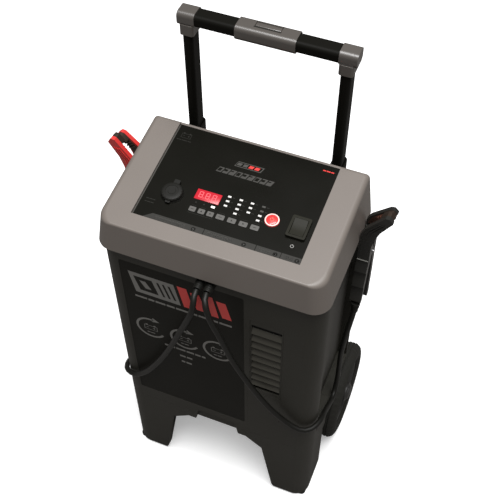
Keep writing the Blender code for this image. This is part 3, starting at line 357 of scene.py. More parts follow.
def arc(centre, radius, start, end, count):
    return [(centre[0] + radius * math.cos(math.radians(start + (end - start) * step / count)),
             centre[1] + radius * math.sin(math.radians(start + (end - start) * step / count)))
            for step in range(count + 1)]


def rounded(u0, u1, v0, v1, radius, count=6):
    """Outline of a rectangle with rounded corners."""
    return (arc((u1 - radius, v0 + radius), radius, -90, 0, count)
            + arc((u1 - radius, v1 - radius), radius, 0, 90, count)
            + arc((u0 + radius, v1 - radius), radius, 90, 180, count)
            + arc((u0 + radius, v0 + radius), radius, 180, 270, count))


def around(u, v, half_u, half_v, radius, count=6):
    """Outline of a rounded rectangle about its centre."""
    return rounded(u - half_u, u + half_u, v - half_v, v + half_v, radius, count)


def case_plan(half, front, rear, front_radius, rear_radius=0.004, front_steps=12, rear_steps=4):
    """Outline of the case or lid seen from above, between two depths."""
    front_x, rear_x = half - front_radius, half - rear_radius
    front_y, rear_y = D(front + front_radius), D(rear - rear_radius)
    return (arc((front_x, front_y), front_radius, -90, 0, front_steps)
            + arc((rear_x, rear_y), rear_radius, 0, 90, rear_steps)
            + arc((-rear_x, rear_y), rear_radius, 90, 180, rear_steps)
            + arc((-front_x, front_y), front_radius, 180, 270, front_steps))


def smooth_route(points, spacing, steps=20):
    """Evenly spaced points on a Catmull-Rom curve through a route's points."""
    knots = [Vector(p) for p in points]
    knots = [knots[0] * 2 - knots[1]] + knots + [knots[-1] * 2 - knots[-2]]
    fine = []
    for a, b, c, d in zip(knots, knots[1:], knots[2:], knots[3:]):
        for step in range(steps):
            t = step / steps
            fine.append(0.5 * (2 * b + (c - a) * t + (2 * a - 5 * b + 4 * c - d) * t * t
                               + (3 * b - a - 3 * c + d) * t ** 3))
    fine.append(knots[-2])
    lengths = [0.0]
    for first, second in zip(fine, fine[1:]):
        lengths.append(lengths[-1] + (second - first).length)
    count = max(2, round(lengths[-1] / spacing))
    route, index = [], 0
    for step in range(count + 1):
        target = lengths[-1] * step / count
        while index < len(fine) - 2 and lengths[index + 1] < target:
            index += 1
        span = max(lengths[index + 1] - lengths[index], 1e-9)
        route.append(fine[index].lerp(fine[index + 1], min(1.0, (target - lengths[index]) / span)))
    return route, lengths[-1]


def tube(name, points, radius, shade, resolution=4):
    curve = bpy.data.curves.new(name, "CURVE")
    curve.dimensions = "3D"
    curve.bevel_depth = radius
    curve.bevel_resolution = resolution
    curve.use_fill_caps = True
    spline = curve.splines.new("POLY")
    spline.points.add(len(points) - 1)
    for point, spot in zip(spline.points, points):
        point.co = (*spot, 1.0)
    curve.materials.append(shade)
    return add_object(name, curve)


# ---------------- printed marks and painted shade strips
# Heights of the layers of print above a face; OVER lies on INK, and TOP lies on OVER.
INK = 0.00012
INK_CROSSING = 0.00013
OVER = 0.0002
TOP = 0.0003
DASH_GAP = 0.6


class Print:
    """Thin printed shapes on a flat face, and painted shadow and shade strips; each ink becomes one piece.
    """

    def __init__(self, name, matrix, body="case"):
        self.name, self.matrix, self.body, self.inks = name, matrix, body, {}

    def shape(self, ink, points, height=INK):
        self.inks.setdefault(ink, []).append((points, height))

    def bar(self, ink, u0, u1, v0, v1, height=INK):
        self.shape(ink, [(u0, v0), (u1, v0), (u1, v1), (u0, v1)], height)

    def disc(self, ink, centre, radius):
        self.shape(ink, arc(centre, radius, 0, 352.5, 47))

    def band(self, ink, centre, inner, outer, start, end):
        """Part of a ring, laid down as a row of small four-sided shapes."""
        count = max(6, int(abs(end - start) / 6))
        far, near = (arc(centre, radius, start, end, count) for radius in (outer, inner))
        for index in range(count):
            self.shape(ink, [near[index], far[index], far[index + 1], near[index + 1]])

    def frame(self, ink, u0, u1, v0, v1, line):
        for low, high in ((v0, v0 + line), (v1 - line, v1)):
            self.bar(ink, u0, u1, low, high)
        for left, right in ((u0, u0 + line), (u1 - line, u1)):
            self.bar(ink, left, right, v0 + line, v1 - line)

    def dashes(self, ink, u0, u1, v, height, pattern):
        """A line of short dashes; pattern lists their lengths, beside gaps of DASH_GAP."""
        unit = (u1 - u0) / sum(length + DASH_GAP for length in pattern)
        at = u0
        for length in pattern:
            self.bar(ink, at, at + length * unit, v, v + height)
            at += (length + DASH_GAP) * unit

    def done(self):
        for ink, shapes in self.inks.items():
            bm = bmesh.new()
            for points, height in shapes:
                bm.faces.new([bm.verts.new((u, v, height)) for u, v in points])
            bmesh.ops.triangulate(bm, faces=bm.faces)
            mesh = bpy.data.meshes.new(self.name + "_" + ink.name)
            bm.normal_update()
            for face in bm.faces:
                if face.normal.z < 0:
                    face.normal_flip()
            bm.to_mesh(mesh)
            bm.free()
            mesh.materials.append(ink)
            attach(place(add_object(mesh.name, mesh), self.matrix), self.body)


# ---------------- case and base
def case_part(name, low_z, high_z):
    """A solid with the case's plan; cutters make a shell of it."""
    plan = case_plan(BODY_HALF, BODY_FRONT, BODY_REAR, BODY_CORNER)
    return prism(name, plan, "XY", low_z, high_z, CASE)


def recess_cutters():
    """The room for a clamp and its lead in each side of the case."""
    low, high, narrow, wide, rear = 0.236, 0.664, D(0.06), D(0.037), D(0.222)
    outline = [(narrow, high), (D(0.063), 0.47), (wide, 0.436), (wide, low), (rear, low), (rear, high)]
    return [prism("cut_recess", outline, "YZ", sign * RECESS_X, sign * (BODY_HALF + 0.02))
            for _, sign in SIDES]


LABEL_BOX = (-0.157, 0.059, 0.243, 0.641)
GRILLE_BOX = (0.0695, 0.127, 0.3705, 0.5905)
RIB_PITCH = 0.01993
RIB_TOP_Z = 0.58
RIB_COUNT = 11
SLAT_OUTLINE = [(-0.0008, -0.0062), (0.0004, -0.007), (0.0052, 0.005), (0.0044, 0.0062), (0.0036, 0.006)]
GLAND_X = (-0.0125, 0.0045)
DIMPLE_COLUMNS = ((0.0643, 14), (0.1262, 9))
DIMPLE_TOP_Z = 0.362
DIMPLE_PITCH = 0.0088
FAN_Z = 0.52
FAN_R = 0.041
FAN_SLOTS = 7
FAN_SLOT_PITCH = 0.012
SCREW_X = 0.165
SCREW_Z = (0.235, 0.44, 0.645)
NOTCH_TOP_Z = 0.2235
NOTCH_DEPTH = 0.012
ARCH_TOP_Z = 0.186
SOLE_Z = 0.006
LEG_FRONT_WALL = 0.02
LEG_SIDE_WALL = 0.007
LEG_REAR = 0.093
LEG_TOP_Z = 0.15


def arch_outline(top):
    """The opening between the front legs, up to a given height."""
    right = [(0.1235, -0.01), (0.1235, 0.002), (0.117, 0.014), (0.0935, 0.1595)]
    if top > 0.19:
        right += [(0.044, 0.187), (0.0385, top - 0.004), (0.035, top)]
    else:
        right += [(0.06, top)]
    return right + [(-x, z) for x, z in reversed(right)]


def make_front_shell():
    front = D(BODY_FRONT)
    shell = case_part("case_front", SEAM_Z, CASE_TOP_Z)
    x0, x1, z0, z1 = LABEL_BOX
    g0, g1, h0, h1 = GRILLE_BOX
    inside = case_plan(BODY_HALF - WALL, BODY_FRONT + WALL, 0.033, 0.023, 0.002)
    cutters = recess_cutters() + [
        block("cut_rear", (-FAR, D(BODY_SPLIT - GAP / 2), 0.1), (FAR, D(FAR), 0.8)),
        prism("cut_cavity", inside, "XY", 0.2, 0.69),
        block("cut_inner", (-RECESS_X + WALL, D(0.03), 0.2), (RECESS_X - WALL, D(FAR), 0.69)),
        prism("cut_label", rounded(x0, x1, z0, z1, 0.004), "XZ", front - 0.01, front + 0.002),
        block("cut_grille", (g0, front - 0.01, h0), (g1, front + 0.02, h1)),
        prism("cut_notch", arch_outline(NOTCH_TOP_Z), "XZ", D(-0.03), D(NOTCH_DEPTH))]
    cutters += [cylinder("cut_gland", (x, front, GLAND_Z), 0.0062, 0.03, "Y", sides=24) for x in GLAND_X]
    for x, rows in DIMPLE_COLUMNS:
        for row in range(rows):
            spot = (x, front, DIMPLE_TOP_Z - row * DIMPLE_PITCH)
            cutters.append(cylinder("cut_dimple", spot, 0.0011, 0.0022, "Y", sides=8))
    finish_piece(shell, cutters, width=0.001)
    settle(shell, "case", "front_shell")


def make_rear_shell():
    rear = D(BODY_REAR - WALL)
    shell = case_part("case_rear", SEAM_Z, CASE_TOP_Z)
    cutters = recess_cutters() + [
        block("cut_front", (-FAR, D(-0.1), 0.1), (FAR, D(BODY_SPLIT + GAP / 2), 0.8)),
        block("cut_inner", (-RECESS_X + WALL, D(0.03), 0.2), (RECESS_X - WALL, rear, 0.69)),
        block("cut_inlet", (0.061, rear - 0.01, 0.268), (0.089, rear + 0.02, 0.292))]
    for index in range(FAN_SLOTS):
        rise = (index - (FAN_SLOTS - 1) / 2) * FAN_SLOT_PITCH
        slot = around(0, FAN_Z + rise, math.sqrt(FAN_R ** 2 - rise ** 2), 0.003, 0.0029, 3)
        cutters.append(prism("cut_fan", slot, "XZ", rear - 0.005, rear + 0.02))
    finish_piece(shell, cutters, width=0.001)
    settle(shell, "case", "rear_shell")
    for x in (-SCREW_X, SCREW_X):
        for z in SCREW_Z:
            make_case_screw(x, z)


def make_case_screw(x, z):
    """Countersunk screw with a cross slot."""
    face = D(BODY_REAR)
    head = [(0, 0.001), (0.0028, 0.0008), (0.0036, 0.0), (0.0036, -0.003), (0, -0.003)]
    screw = lathe(f"case_screw_{x}_{z}", head, STEEL, "Y", (x, face + 0.0002, z), 20, False)
    long, short = 0.0018, 0.0004
    slots = [block("cut_cross", (x - a, face + 0.0004, z - b), (x + a, face + 0.004, z + b))
             for a, b in ((long, short), (short, long))]
    finish_piece(screw, slots)
    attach(screw, "case")


def make_base():
    base = case_part("base_moulding", SOLE_Z, SEAM_Z - GAP)
    side = BODY_HALF - LEG_SIDE_WALL
    cutters = [
        prism("cut_notch", arch_outline(NOTCH_TOP_Z), "XZ", D(-0.03), D(NOTCH_DEPTH)),
        prism("cut_arch", arch_outline(ARCH_TOP_Z), "XZ", D(-0.03), D(0.26)),
        block("cut_behind", (-FAR, D(LEG_REAR), -0.01), (FAR, D(0.26), LEG_TOP_Z)),
        block("cut_between", (-side, D(LEG_FRONT_WALL), -0.012), (side, D(0.097), LEG_TOP_Z + 0.0005))]
    for _, sign in SIDES:
        inner, outer = sorted((sign * 0.127, sign * (BODY_HALF - 0.0065)))
        cutters.append(block("cut_leg", (inner, D(0.022), 0.012), (outer, D(0.13), SEAM_Z - 0.008)))
        inner, outer = sorted((sign * (WHEEL_INNER - 0.005), sign * FAR))
        cutters.append(block("cut_wheel", (inner, D(0.106), -0.01), (outer, D(0.26), 0.3)))
    finish_piece(base, cutters, width=0.0016)
    settle(base, "case", "base")


def make_grille():
    """Vent whose slats lean back at the top, like a shutter."""
    x0, x1, z0, z1 = GRILLE_BOX
    front = D(BODY_FRONT)
    plate = rounded(x0 + GAP, x1 - GAP, z0 + GAP, z1 - GAP, 0.001, 2)
    grille = prism("louvres", plate, "XZ", front + GAP, front + 0.0035, CASE)
    low_z = RIB_TOP_Z - RIB_PITCH * (RIB_COUNT - 1)
    opening = block("cut_slots", (x0 + 0.003, front - 0.01, low_z + 0.002),
                    (x1 - 0.003, front + 0.02, RIB_TOP_Z - 0.002))
    finish_piece(grille, [opening], width=0.0008)
    settle(grille, "case", "louvre_grille")
    for index in range(1, RIB_COUNT - 1):
        z = RIB_TOP_Z - RIB_PITCH * index
        outline = [(front + behind, z + rise) for behind, rise in SLAT_OUTLINE]
        # Each slat takes the lighter black, a painted highlight.
        slat = prism(f"slat_{index}", outline, "YZ", x0 + 0.0028, x1 - 0.0028, SLAT_PAINTED_HIGHLIGHT)
        finish_piece(slat, width=0.0004)
        settle(slat, "case")
    # A near-black sheet behind the slats: painted shade where the case's inside lies in shadow.
    liner = block("louvre_liner", (x0 + 0.002, front + 0.0062, z0 + 0.002),
                  (x1 - 0.002, front + 0.007, z1 - 0.002))
    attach(liner, "case")


# ---------------- lid
def lid_rings():
    """The lid's outline at the apron's foot, then at each level of the round-over on top."""
    top_plan = case_plan(LID_TOP_HALF, 0.0, LID_TOP_DEPTH, LID_CORNER, 0.005)
    foot_plan = case_plan(LID_BOTTOM_HALF, -LID_FLARE, LID_TOP_DEPTH + LID_FLARE, 0.03, 0.007)
    middle = D(LID_TOP_DEPTH / 2)
    rings = [[(x, y, LID_BOTTOM_Z) for x, y in foot_plan]]
    for level in range(LID_LEVELS + 1):
        angle = math.pi / 2 * level / LID_LEVELS
        ring = []
        for x, y in top_plan:
            across = min(1.0, max(0.0, (abs(x) - (LID_TOP_HALF - LID_CORNER)) / LID_CORNER))
            radius = LID_FRONT_ROUND + (LID_SIDE_ROUND - LID_FRONT_ROUND) * across
            inward = radius * (1 - math.cos(angle))
            near_y = middle + (y - middle) * (1 - inward / (LID_TOP_DEPTH / 2))
            z = lid_z(near_y - FRONT) - radius * (1 - math.sin(angle))
            ring.append((x * (1 - inward / LID_TOP_HALF), near_y, z))
        rings.append(ring)
    return rings


def slope_cut(name, half, near, far, low, high):
    """A box between two depths whose floor and top follow the lid's slope."""
    box = block_bm((-1, -1, 0), (1, 1, 1))
    for vert in box.verts:
        depth = near if vert.co.y < 0 else far
        vert.co = (half * vert.co.x, D(depth), lid_z(depth) + (high if vert.co.z > 0.5 else low))
    return link_mesh(name, box, DARK)


def make_lid():
    """Lid with an apron that flares downwards and a round-over that is wider at the sides."""
    bm = bmesh.new()
    rings = [[bm.verts.new(spot) for spot in ring] for ring in lid_rings()]
    count = len(rings[0])
    for low, high in zip(rings, rings[1:]):
        for index in range(count):
            after = (index + 1) % count
            bm.faces.new((low[index], low[after], high[after], high[index]))
    bm.faces.new(rings[0])
    bm.faces.new(rings[-1])
    lid = link_mesh("lid_moulding", bm, GREY)
    rabbet = case_plan(BODY_HALF + 0.0005, BODY_FRONT - 0.0005, BODY_REAR + 0.05, BODY_CORNER, 0.001)
    cutters = [
        slope_cut("cut_pocket", PANEL_HALF, PANEL_NEAR, PANEL_FAR, -0.0073, 0.05),
        slope_cut("cut_open_end", PANEL_HALF, PANEL_NEAR, FAR, -PANEL_DROP, 0.05),
        slope_cut("cut_hollow", 0.176, 0.012, 0.208, -0.2, -0.014),
        slope_cut("cut_throat", PANEL_HALF - 0.006, PANEL_NEAR + 0.006, PANEL_FAR - 0.01, -0.2, 0.05),
        prism("cut_rabbet", rabbet, "XY", LID_BOTTOM_Z - 0.01, LID_BOTTOM_Z + 0.0035)]
    finish_piece(lid, cutters, width=0.0007)
    settle(lid, "case", "lid")


# ---------------- control panel
KEYS = [
    (-0.0518, 0.011), (-0.0368, 0.011), (-0.0222, 0.011), (-0.0057, 0.0135), (0.0131, 0.0135),
    (0.0319, 0.0135), (0.0505, 0.0135)]
KEY_V = 0.0705
DISPLAY = (-0.038, 0.1, 0.0405, 0.019)
SOCKET = (-0.0925, 0.0865)
START = (0.0705, 0.092)
SWITCH_AT = (0.1137, 0.091)
ROCKER_TILT = math.radians(6)
LAMP_COLUMNS = ((-0.006, 3), (0.0132, 4), (0.0317, 3), (0.0504, 4))


def slanted(sheet, ink, u0, u1, v0, v1, height=INK):
    """A four-sided mark leaning to the right."""
    lean = (v1 - v0) * 0.35
    sheet.shape(ink, [(u0, v0), (u1, v0), (u1 + lean, v1), (u0 + lean, v1)], height)


def arrow(sheet, ink, tip, size, way):
    """A small solid triangle pointing along way (degrees)."""
    angles = [math.radians(way + turn) for turn in (0, 130, 230)]
    sheet.shape(ink, [(tip[0] + size * math.cos(a), tip[1] + size * math.sin(a)) for a in angles])


def bolt(sheet, ink, centre, size):
    """A lightning flash, a common sign for electric current."""
    x, y = centre
    shape = [(0.15, 1.0), (-0.45, -0.1), (-0.05, -0.1), (-0.2, -1.0), (0.5, 0.25), (0.08, 0.25)]
    sheet.shape(ink, [(x + a * size, y + b * size) for a, b in shape])


def battery_sign(sheet, ink, centre, size):
    """Outline of a car battery with its two posts and its plus and minus."""
    x, y = centre

    def bar(u, half, low, high, height=INK):
        middle = x + u * size
        sheet.bar(ink, middle - half * size, middle + half * size, y + low * size, y + high * size, height)

    sheet.frame(ink, x - size, x + size, y - size * 0.6, y + size * 0.45, size * 0.09)
    for side in (-1, 1):
        bar(side * 0.6, 0.16, 0.45, 0.66)
        bar(side * 0.5, 0.2, -0.12, -0.02)
    bar(0.5, 0.05, -0.27, 0.13, INK_CROSSING)


def segment_digit(sheet, ink, x, y, width, height):
    """A seven-segment figure with every segment lit."""
    line, gap = width * 0.2, width * 0.06
    for v in (y, y + height / 2 - line / 2, y + height - line):
        sheet.bar(ink, x + gap, x + width - gap, v, v + line)
    for u in (x - line * 0.2, x + width - line * 0.8):
        for v in (y + line * 0.7, y + height / 2 + line * 0.3):
            sheet.bar(ink, u, u + line, v, v + height / 2 - line, INK_CROSSING)


def power_sign(sheet, ink, centre, inner, outer, start, end, top):
    """An open ring with a short bar in its gap."""
    x, v = centre
    sheet.band(ink, centre, inner, outer, start, end)
    sheet.bar(ink, x - 0.0004, x + 0.0004, v + 0.0008, v + top, OVER)


def print_panel():
    sheet = Print("panel_print", PANEL)
    low, high = 0.0315, 0.0432
    sheet.shape(STRIP_GREY, [(-0.106, high), (-0.121, low), (0.1362, low), (0.1362, high)])
    for x in (-0.0196, 0.0645, 0.1043):
        sheet.bar(PANEL_BLACK, x - 0.0005, x + 0.0005, low, high, OVER)
    for start, end in ((-0.1, -0.048), (-0.014, 0.028), (0.07, 0.088), (0.11, 0.124)):
        sheet.dashes(INK_GREY, start, end, 0.0388, 0.0014, (5, 3, 6, 4, 5, 3))
        sheet.dashes(INK_GREY, start, end, 0.0356, 0.0012, (3, 6, 4, 5, 3))
    for x in (-0.036, 0.046, 0.096, 0.13):
        sheet.disc(DIM_INK_AND_SHADE, (x, 0.0372), 0.0038)
        bolt(sheet, INK_LIGHT, (x, 0.0372), 0.0026)
    sheet.bar(DIM_INK_AND_SHADE, -0.0578, -0.0155, 0.0632, 0.0637)
    for x, rows in LAMP_COLUMNS:
        for row in range(rows):
            v = 0.111 - row * 0.0088
            ink = INK_GREY if x > 0.05 and row < 2 else INK_LAMP
            sheet.bar(ink, x - 0.0031, x + 0.0023, v - 0.0016, v + 0.0016)
            sheet.bar(DIM_INK_AND_SHADE, x + 0.0045, x + 0.0085, v - 0.0006, v + 0.0004)
    for x in (-0.0517, -0.0382):
        sheet.disc(DIM_INK_AND_SHADE, (x, 0.0842), 0.0013)
    sheet.bar(LAMP_ON, -0.0262, -0.0205, 0.0826, 0.0858, TOP)
    for x, width in KEYS:
        sheet.bar(DIM_INK_AND_SHADE, x - width * 0.35, x + width * 0.35, 0.078, 0.0784)
    power_sign(sheet, INK_LIGHT, (0.1144, 0.0592), 0.002, 0.0029, 120, 420, 0.0036)
    battery_sign(sheet, DIM_INK_AND_SHADE, (-0.118, 0.199), 0.0085)
    sheet.dashes(DIM_INK_AND_SHADE, -0.131, -0.105, 0.1885, 0.0012, (4, 5, 3))
    sheet.dashes(INK_RED, 0.112, 0.131, 0.206, 0.0022, (3, 4, 3))
    # A grey strip down the panel's left edge, painted shade of the lid pocket's wall.
    sheet.bar(POCKET_WALL_SHADE, -0.1368, -0.1349, 0.0305, 0.216, TOP)
    slanted(sheet, INK_GREY, -0.0225, 0.0215, 0.169, 0.1795)
    slanted(sheet, PANEL_BLACK, -0.0212, 0.0202, 0.1702, 0.1783, OVER)
    for index in range(4):
        x = -0.0195 + index * 0.0098
        slanted(sheet, INK_RED if index > 1 else INK_GREY, x, x + 0.0072, 0.1716, 0.1769, TOP)
    for index in range(9):
        x = -0.0465 + index * 0.0104
        slanted(sheet, INK_TITLE, x, x + 0.0088, 0.15, 0.1602)
        slanted(sheet, PANEL_BLACK, x + 0.0017, x + 0.0071, 0.152 + 0.0022 * (index % 3), 0.1583, OVER)
    for v, pattern in ((0.066, (4, 5, 3)), (0.06, (3, 4, 5))):
        sheet.dashes(DIM_INK_AND_SHADE, -0.128, -0.112, v, 0.0012, pattern)
    sheet.done()


def make_display():
    x, v, width, height = DISPLAY
    window = block("display_lens", (-width / 2, -height / 2, -0.003), (width / 2, height / 2, 0.0005),
                   WINDOW_RED, 0.0006)
    place(window, on_panel(x, v))
    settle(window, "case", "display_window")
    sheet = Print("display_figures", on_panel(0, 0, 0.0005))
    for index in range(3):
        left = x - width * 0.36 + index * width * 0.27
        segment_digit(sheet, SEGMENT, left, v - height * 0.3, width * 0.155, height * 0.6)
        sheet.disc(SEGMENT, (left + width * 0.205, v - height * 0.28), 0.0008)
    sheet.done()


def make_keys():
    top = 0.0012
    for number, (x, width) in enumerate(KEYS, start=1):
        body = f"key_{number}"
        outline = around(0, 0, width / 2, 0.0045, 0.0015, 4)
        key = prism(f"key_cap_{number}", outline, "XY", -0.003, top, KEY_GREY)
        finish_piece(key, width=0.0004)
        place(key, on_panel(x, KEY_V))
        settle(key, body, body)
        sheet = Print(f"key_mark_{number}", on_panel(x, KEY_V, top), body)
        if number % 3 == 1:
            sheet.bar(DIM_INK_AND_SHADE, -0.0026, 0.0026, -0.0004, 0.0004)
        elif number % 3 == 2:
            arrow(sheet, DIM_INK_AND_SHADE, (0, -0.0002), 0.002, 90)
        else:
            arrow(sheet, DIM_INK_AND_SHADE, (0, 0.0002), 0.002, 0)
        sheet.done()


def make_start_button():
    body, top = "start_button", 0.0034
    push = [(0, top), (0.006, 0.0032), (0.0085, 0.0026), (0.009, 0.0016), (0.0108, 0.0016),
            (0.0115, 0.001), (0.0115, -0.006), (0, -0.006)]
    rim = [(0.0094, 0.0024), (0.0112, 0.0022), (0.0114, 0.0012), (0.0092, 0.0012)]
    button = lathe("start_push", push, BUTTON_RED, steps=64, closed=False)
    ring = lathe("start_ring", rim, RING_PINK, steps=64)
    for item in (button, ring):
        place(item, on_panel(*START))
        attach(item, body)
    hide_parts(body)
    sheet = Print("start_mark", on_panel(*START, top), body)
    power_sign(sheet, MARK_PINK, (0, 0), 0.0026, 0.0032, 125, 415, 0.004)
    sheet.done()


def knurled(step, radius, _):
    """Grip ribs round the socket cap's rim."""
    return radius - (0.0005 if radius > 0.017 and step % 4 < 2 else 0.0)


def make_socket():
    flange = [(0.0107, 0.0022), (0.0172, 0.0022), (0.018, 0.0014), (0.0182, GAP), (0.0145, GAP),
              (0.0145, -0.046), (0.0005, -0.046), (0.0005, -0.043), (0.0107, -0.043)]
    dome = [(0, 0.0062), (0.006, 0.0062), (0.0064, 0.0056), (0.01, 0.0056), (0.0104, 0.0062),
            (0.0135, 0.006), (0.016, 0.0052), (0.0172, 0.0036), (0.0175, 0.003), (0.0175, 0.0002),
            (0.01, 0.0), (0.01, -0.006), (0, -0.006)]
    barrel = lathe("socket_flange", flange, RUBBER, steps=64)
    place(barrel, on_panel(*SOCKET))
    settle(barrel, "case", "socket_barrel")
    cap = lathe("socket_lid", dome, RUBBER, steps=72, closed=False, ripple=knurled)
    lug = prism("cap_strap", rounded(-0.005, 0.005, 0.013, 0.024, 0.0018), "XY", 0.0002, 0.0038, RUBBER)
    tab = prism("cap_tab", rounded(-0.004, 0.004, -0.0205, -0.014, 0.0018), "XY", 0.0002, 0.0024, RUBBER)
    finish_piece(lug, width=0.0005)
    finish_piece(tab, width=0.0005)
    for item in (cap, lug, tab):
        place(item, on_panel(*SOCKET, 0.0025))
        settle(item, "socket_cap")
    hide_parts("socket_cap")


def make_switch():
    bezel = prism("switch_frame", around(0, 0, 0.0155, 0.0195, 0.003), "XY", GAP, 0.006, SWITCH)
    well = block("cut_well", (-0.01115, -0.0153, -0.02), (0.01115, 0.0153, 0.02))
    stem = block("add_stem", (-0.0133, -0.0168, -0.022), (0.0133, 0.0168, 0.002))
    finish_piece(bezel, [well], [stem], 0.0008)
    place(bezel, on_panel(*SWITCH_AT))
    settle(bezel, "case", "switch_bezel")
    outline = [(-0.0142, 0.0036), (-0.0142, -0.001), (-0.004, -0.012), (0.004, -0.012),
               (0.0142, -0.001), (0.0142, 0.0036), (0.007, 0.0022), (0.0, 0.0016), (-0.007, 0.0022)]
    rocker = prism("switch_rocker", outline, "YZ", -0.01075, 0.01075, SWITCH)
    finish_piece(rocker, width=0.0004)
    place(rocker, on_panel(*SWITCH_AT, 0.003) @ Matrix.Rotation(ROCKER_TILT, 4, "X"))
    settle(rocker, "rocker", "rocker")


# ---------------- front label
def print_label():
    sheet = Print("label_print", LABEL @ Matrix.Translation((0, 0, -0.0001)))
    slant = 0.01

    def slab(ink, x0, x1, z0, z1, height=INK):
        sheet.shape(ink, [(x0, z1), (x0 + slant, z0), (x1 + slant, z0), (x1, z1)], height)

    slab(INK_LABEL, -0.143, -0.062, 0.565, 0.617)
    slab(LABEL_BLACK, -0.134, -0.101, 0.574, 0.608, OVER)
    slab(INK_LABEL, -0.124, -0.113, 0.582, 0.6, TOP)
    for index in range(3):
        slab(LABEL_BLACK, -0.093 + index * 0.01, -0.089 + index * 0.01, 0.574, 0.608, OVER)
    for index in range(4):
        x = -0.056 + index * 0.0225
        slab(INK_RED, x, x + 0.0165, 0.565 + 0.004 * (index % 2), 0.617 - 0.006 * (index % 2))
    sheet.dashes(INK_LABEL, -0.136, 0.04, 0.55, 0.005, (6, 3, 5, 4, 7, 3, 5, 4, 6))
    for x, z in ((-0.1157, 0.465), (-0.0513, 0.464), (0.0104, 0.463)):
        sheet.band(INK_LABEL, (x, z), 0.0235, 0.028, 75, 330)
        arrow(sheet, INK_LABEL, (x + 0.01, z + 0.0255), 0.0085, -12)
        battery_sign(sheet, INK_LABEL, (x, z + 0.001), 0.0125)
        sheet.dashes(INK_LABEL, x - 0.008, x + 0.008, z - 0.0155, 0.0022, (3, 4))
    for start, end, z, pattern in ((-0.092, -0.012, 0.424, (2, 3, 5, 4, 3, 2)),
                                   (-0.064, -0.038, 0.404, (3, 3)), (-0.062, -0.04, 0.386, (2, 3))):
        sheet.dashes(INK_LABEL, start, end, z, 0.005, pattern)
    sheet.done()


# ---------------- handle
def hollow_tube(name, x, outer, inner, radius, node, body):
    """An upright tube as tall as its CAD node; outer and inner are half sizes."""
    y = D(TUBE_DEPTH)
    low_z, high_z = (corner.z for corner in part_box(node))
    bar = prism(name, around(x, y, *outer, radius, 8), "XY", low_z, high_z, TUBE)
    bore = prism("cut_bore", around(x, y, *inner, radius - 0.002), "XY", low_z - 0.01, high_z + 0.01)
    finish_piece(bar, [bore], width=0.0006)
    settle(bar, body, node)


def button_slot(y):
    """The opening for the release button in the crossbar and its grip."""
    return block("cut_slot", (-0.0205, y - 0.002, CROSSBAR_Z + 0.0015), (0.0205, y + 0.008, 0.99))


def make_handle():
    y = D(TUBE_DEPTH)
    for side, sign in SIDES:
        x = sign * TUBE_X
        hollow_tube(f"sleeve_tube_{side}", x, (0.0115, 0.018), (0.0089, 0.0154), 0.008,
                    f"sleeve_{side}", "case")
        hollow_tube(f"pull_tube_{side}", x, (0.0085, 0.015), (0.007, 0.0135), 0.0065,
                    f"handle_tube_{side}", "pull_handle")
        make_corner(side, x, y)
    low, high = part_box("crossbar")
    bar = prism("cross_tube", around(y, CROSSBAR_Z, 0.014, 0.01, 0.0065, 8), "YZ", low.x, high.x, TUBE)
    finish_piece(bar, [button_slot(y)], width=0.0004)
    settle(bar, "pull_handle", "crossbar")
    outside = around(y, CROSSBAR_Z, 0.016, GRIP_HALF, 0.0075, 8)
    grip = prism("centre_grip", outside, "YZ", -0.047, 0.047, DARK_GREY)
    bore = prism("cut_bore", around(y, CROSSBAR_Z, 0.0143, 0.0103, 0.0065), "YZ", -0.06, 0.06)
    finish_piece(grip, [bore, button_slot(y)], width=0.0008)
    settle(grip, "pull_handle", "grip")
    low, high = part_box("release_button")
    button = block("release_pad", low, high, DARK_GREY, 0.0012, segments=3)
    settle(button, "release_button", "release_button")
    # Two dark lines across the grip's top, in front of and behind the release button: painted shadow of the
    # gap round the button.
    sheet = Print("grip_lines", Matrix.Translation((0, y, CROSSBAR_Z + GRIP_HALF)), "pull_handle")
    for near, far in ((-0.0046, -0.0022), (0.0082, 0.009)):
        sheet.bar(DIM_INK_AND_SHADE, -0.0212, 0.0212, near, far)
    sheet.done()


def make_corner(side, x, y):
    """Cap at a top corner of the handle, with the collar that grips the tube below it."""
    low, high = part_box(f"handle_corner_{side}")
    middle, half = (CAP_BOTTOM_Z + high.z) / 2, (high.z - CAP_BOTTOM_Z) / 2
    cap = prism(f"elbow_{side}", around(y, middle, 0.015, half, 0.008, 8), "YZ", low.x, high.x, DARK_GREY)
    grasp = around(x, y, 0.0115, 0.0163, 0.0045)
    collar = prism("add_collar", grasp, "XY", COLLAR_Z, CAP_BOTTOM_Z + 0.004)
    tube_room = around(x, y, 0.0088, 0.0153, 0.004)
    pocket = prism("cut_pocket", tube_room, "XY", COLLAR_Z - 0.01, TUBE_TOP_Z + GAP)
    finish_piece(cap, [pocket], [collar], 0.001, 3)
    settle(cap, "pull_handle", f"handle_corner_{side}")


# ---------------- wheels
def tyre_profile(half):
    """Half of the tyre's section as (radius, height), then its mirror image."""
    wall = [(HUB_R, half - 0.006), (HUB_R + 0.003, half - 0.003), (HUB_R + 0.008, half - 0.0008),
            (HUB_R + 0.014, half)]
    shoulder = [(0.01, half - 0.002), (0.0055, half - 0.0045), (0.0028, half - 0.008),
                (0.0008, half - 0.0115)]
    grooves = [(0, 0.007), (0, 0.0052), (0.0018, 0.0047), (0.0018, 0.0025), (0, 0.002)]
    upper = wall + [(WHEEL_R - inward, height) for inward, height in shoulder + grooves]
    return upper + [(radius, -height) for radius, height in reversed(upper)]


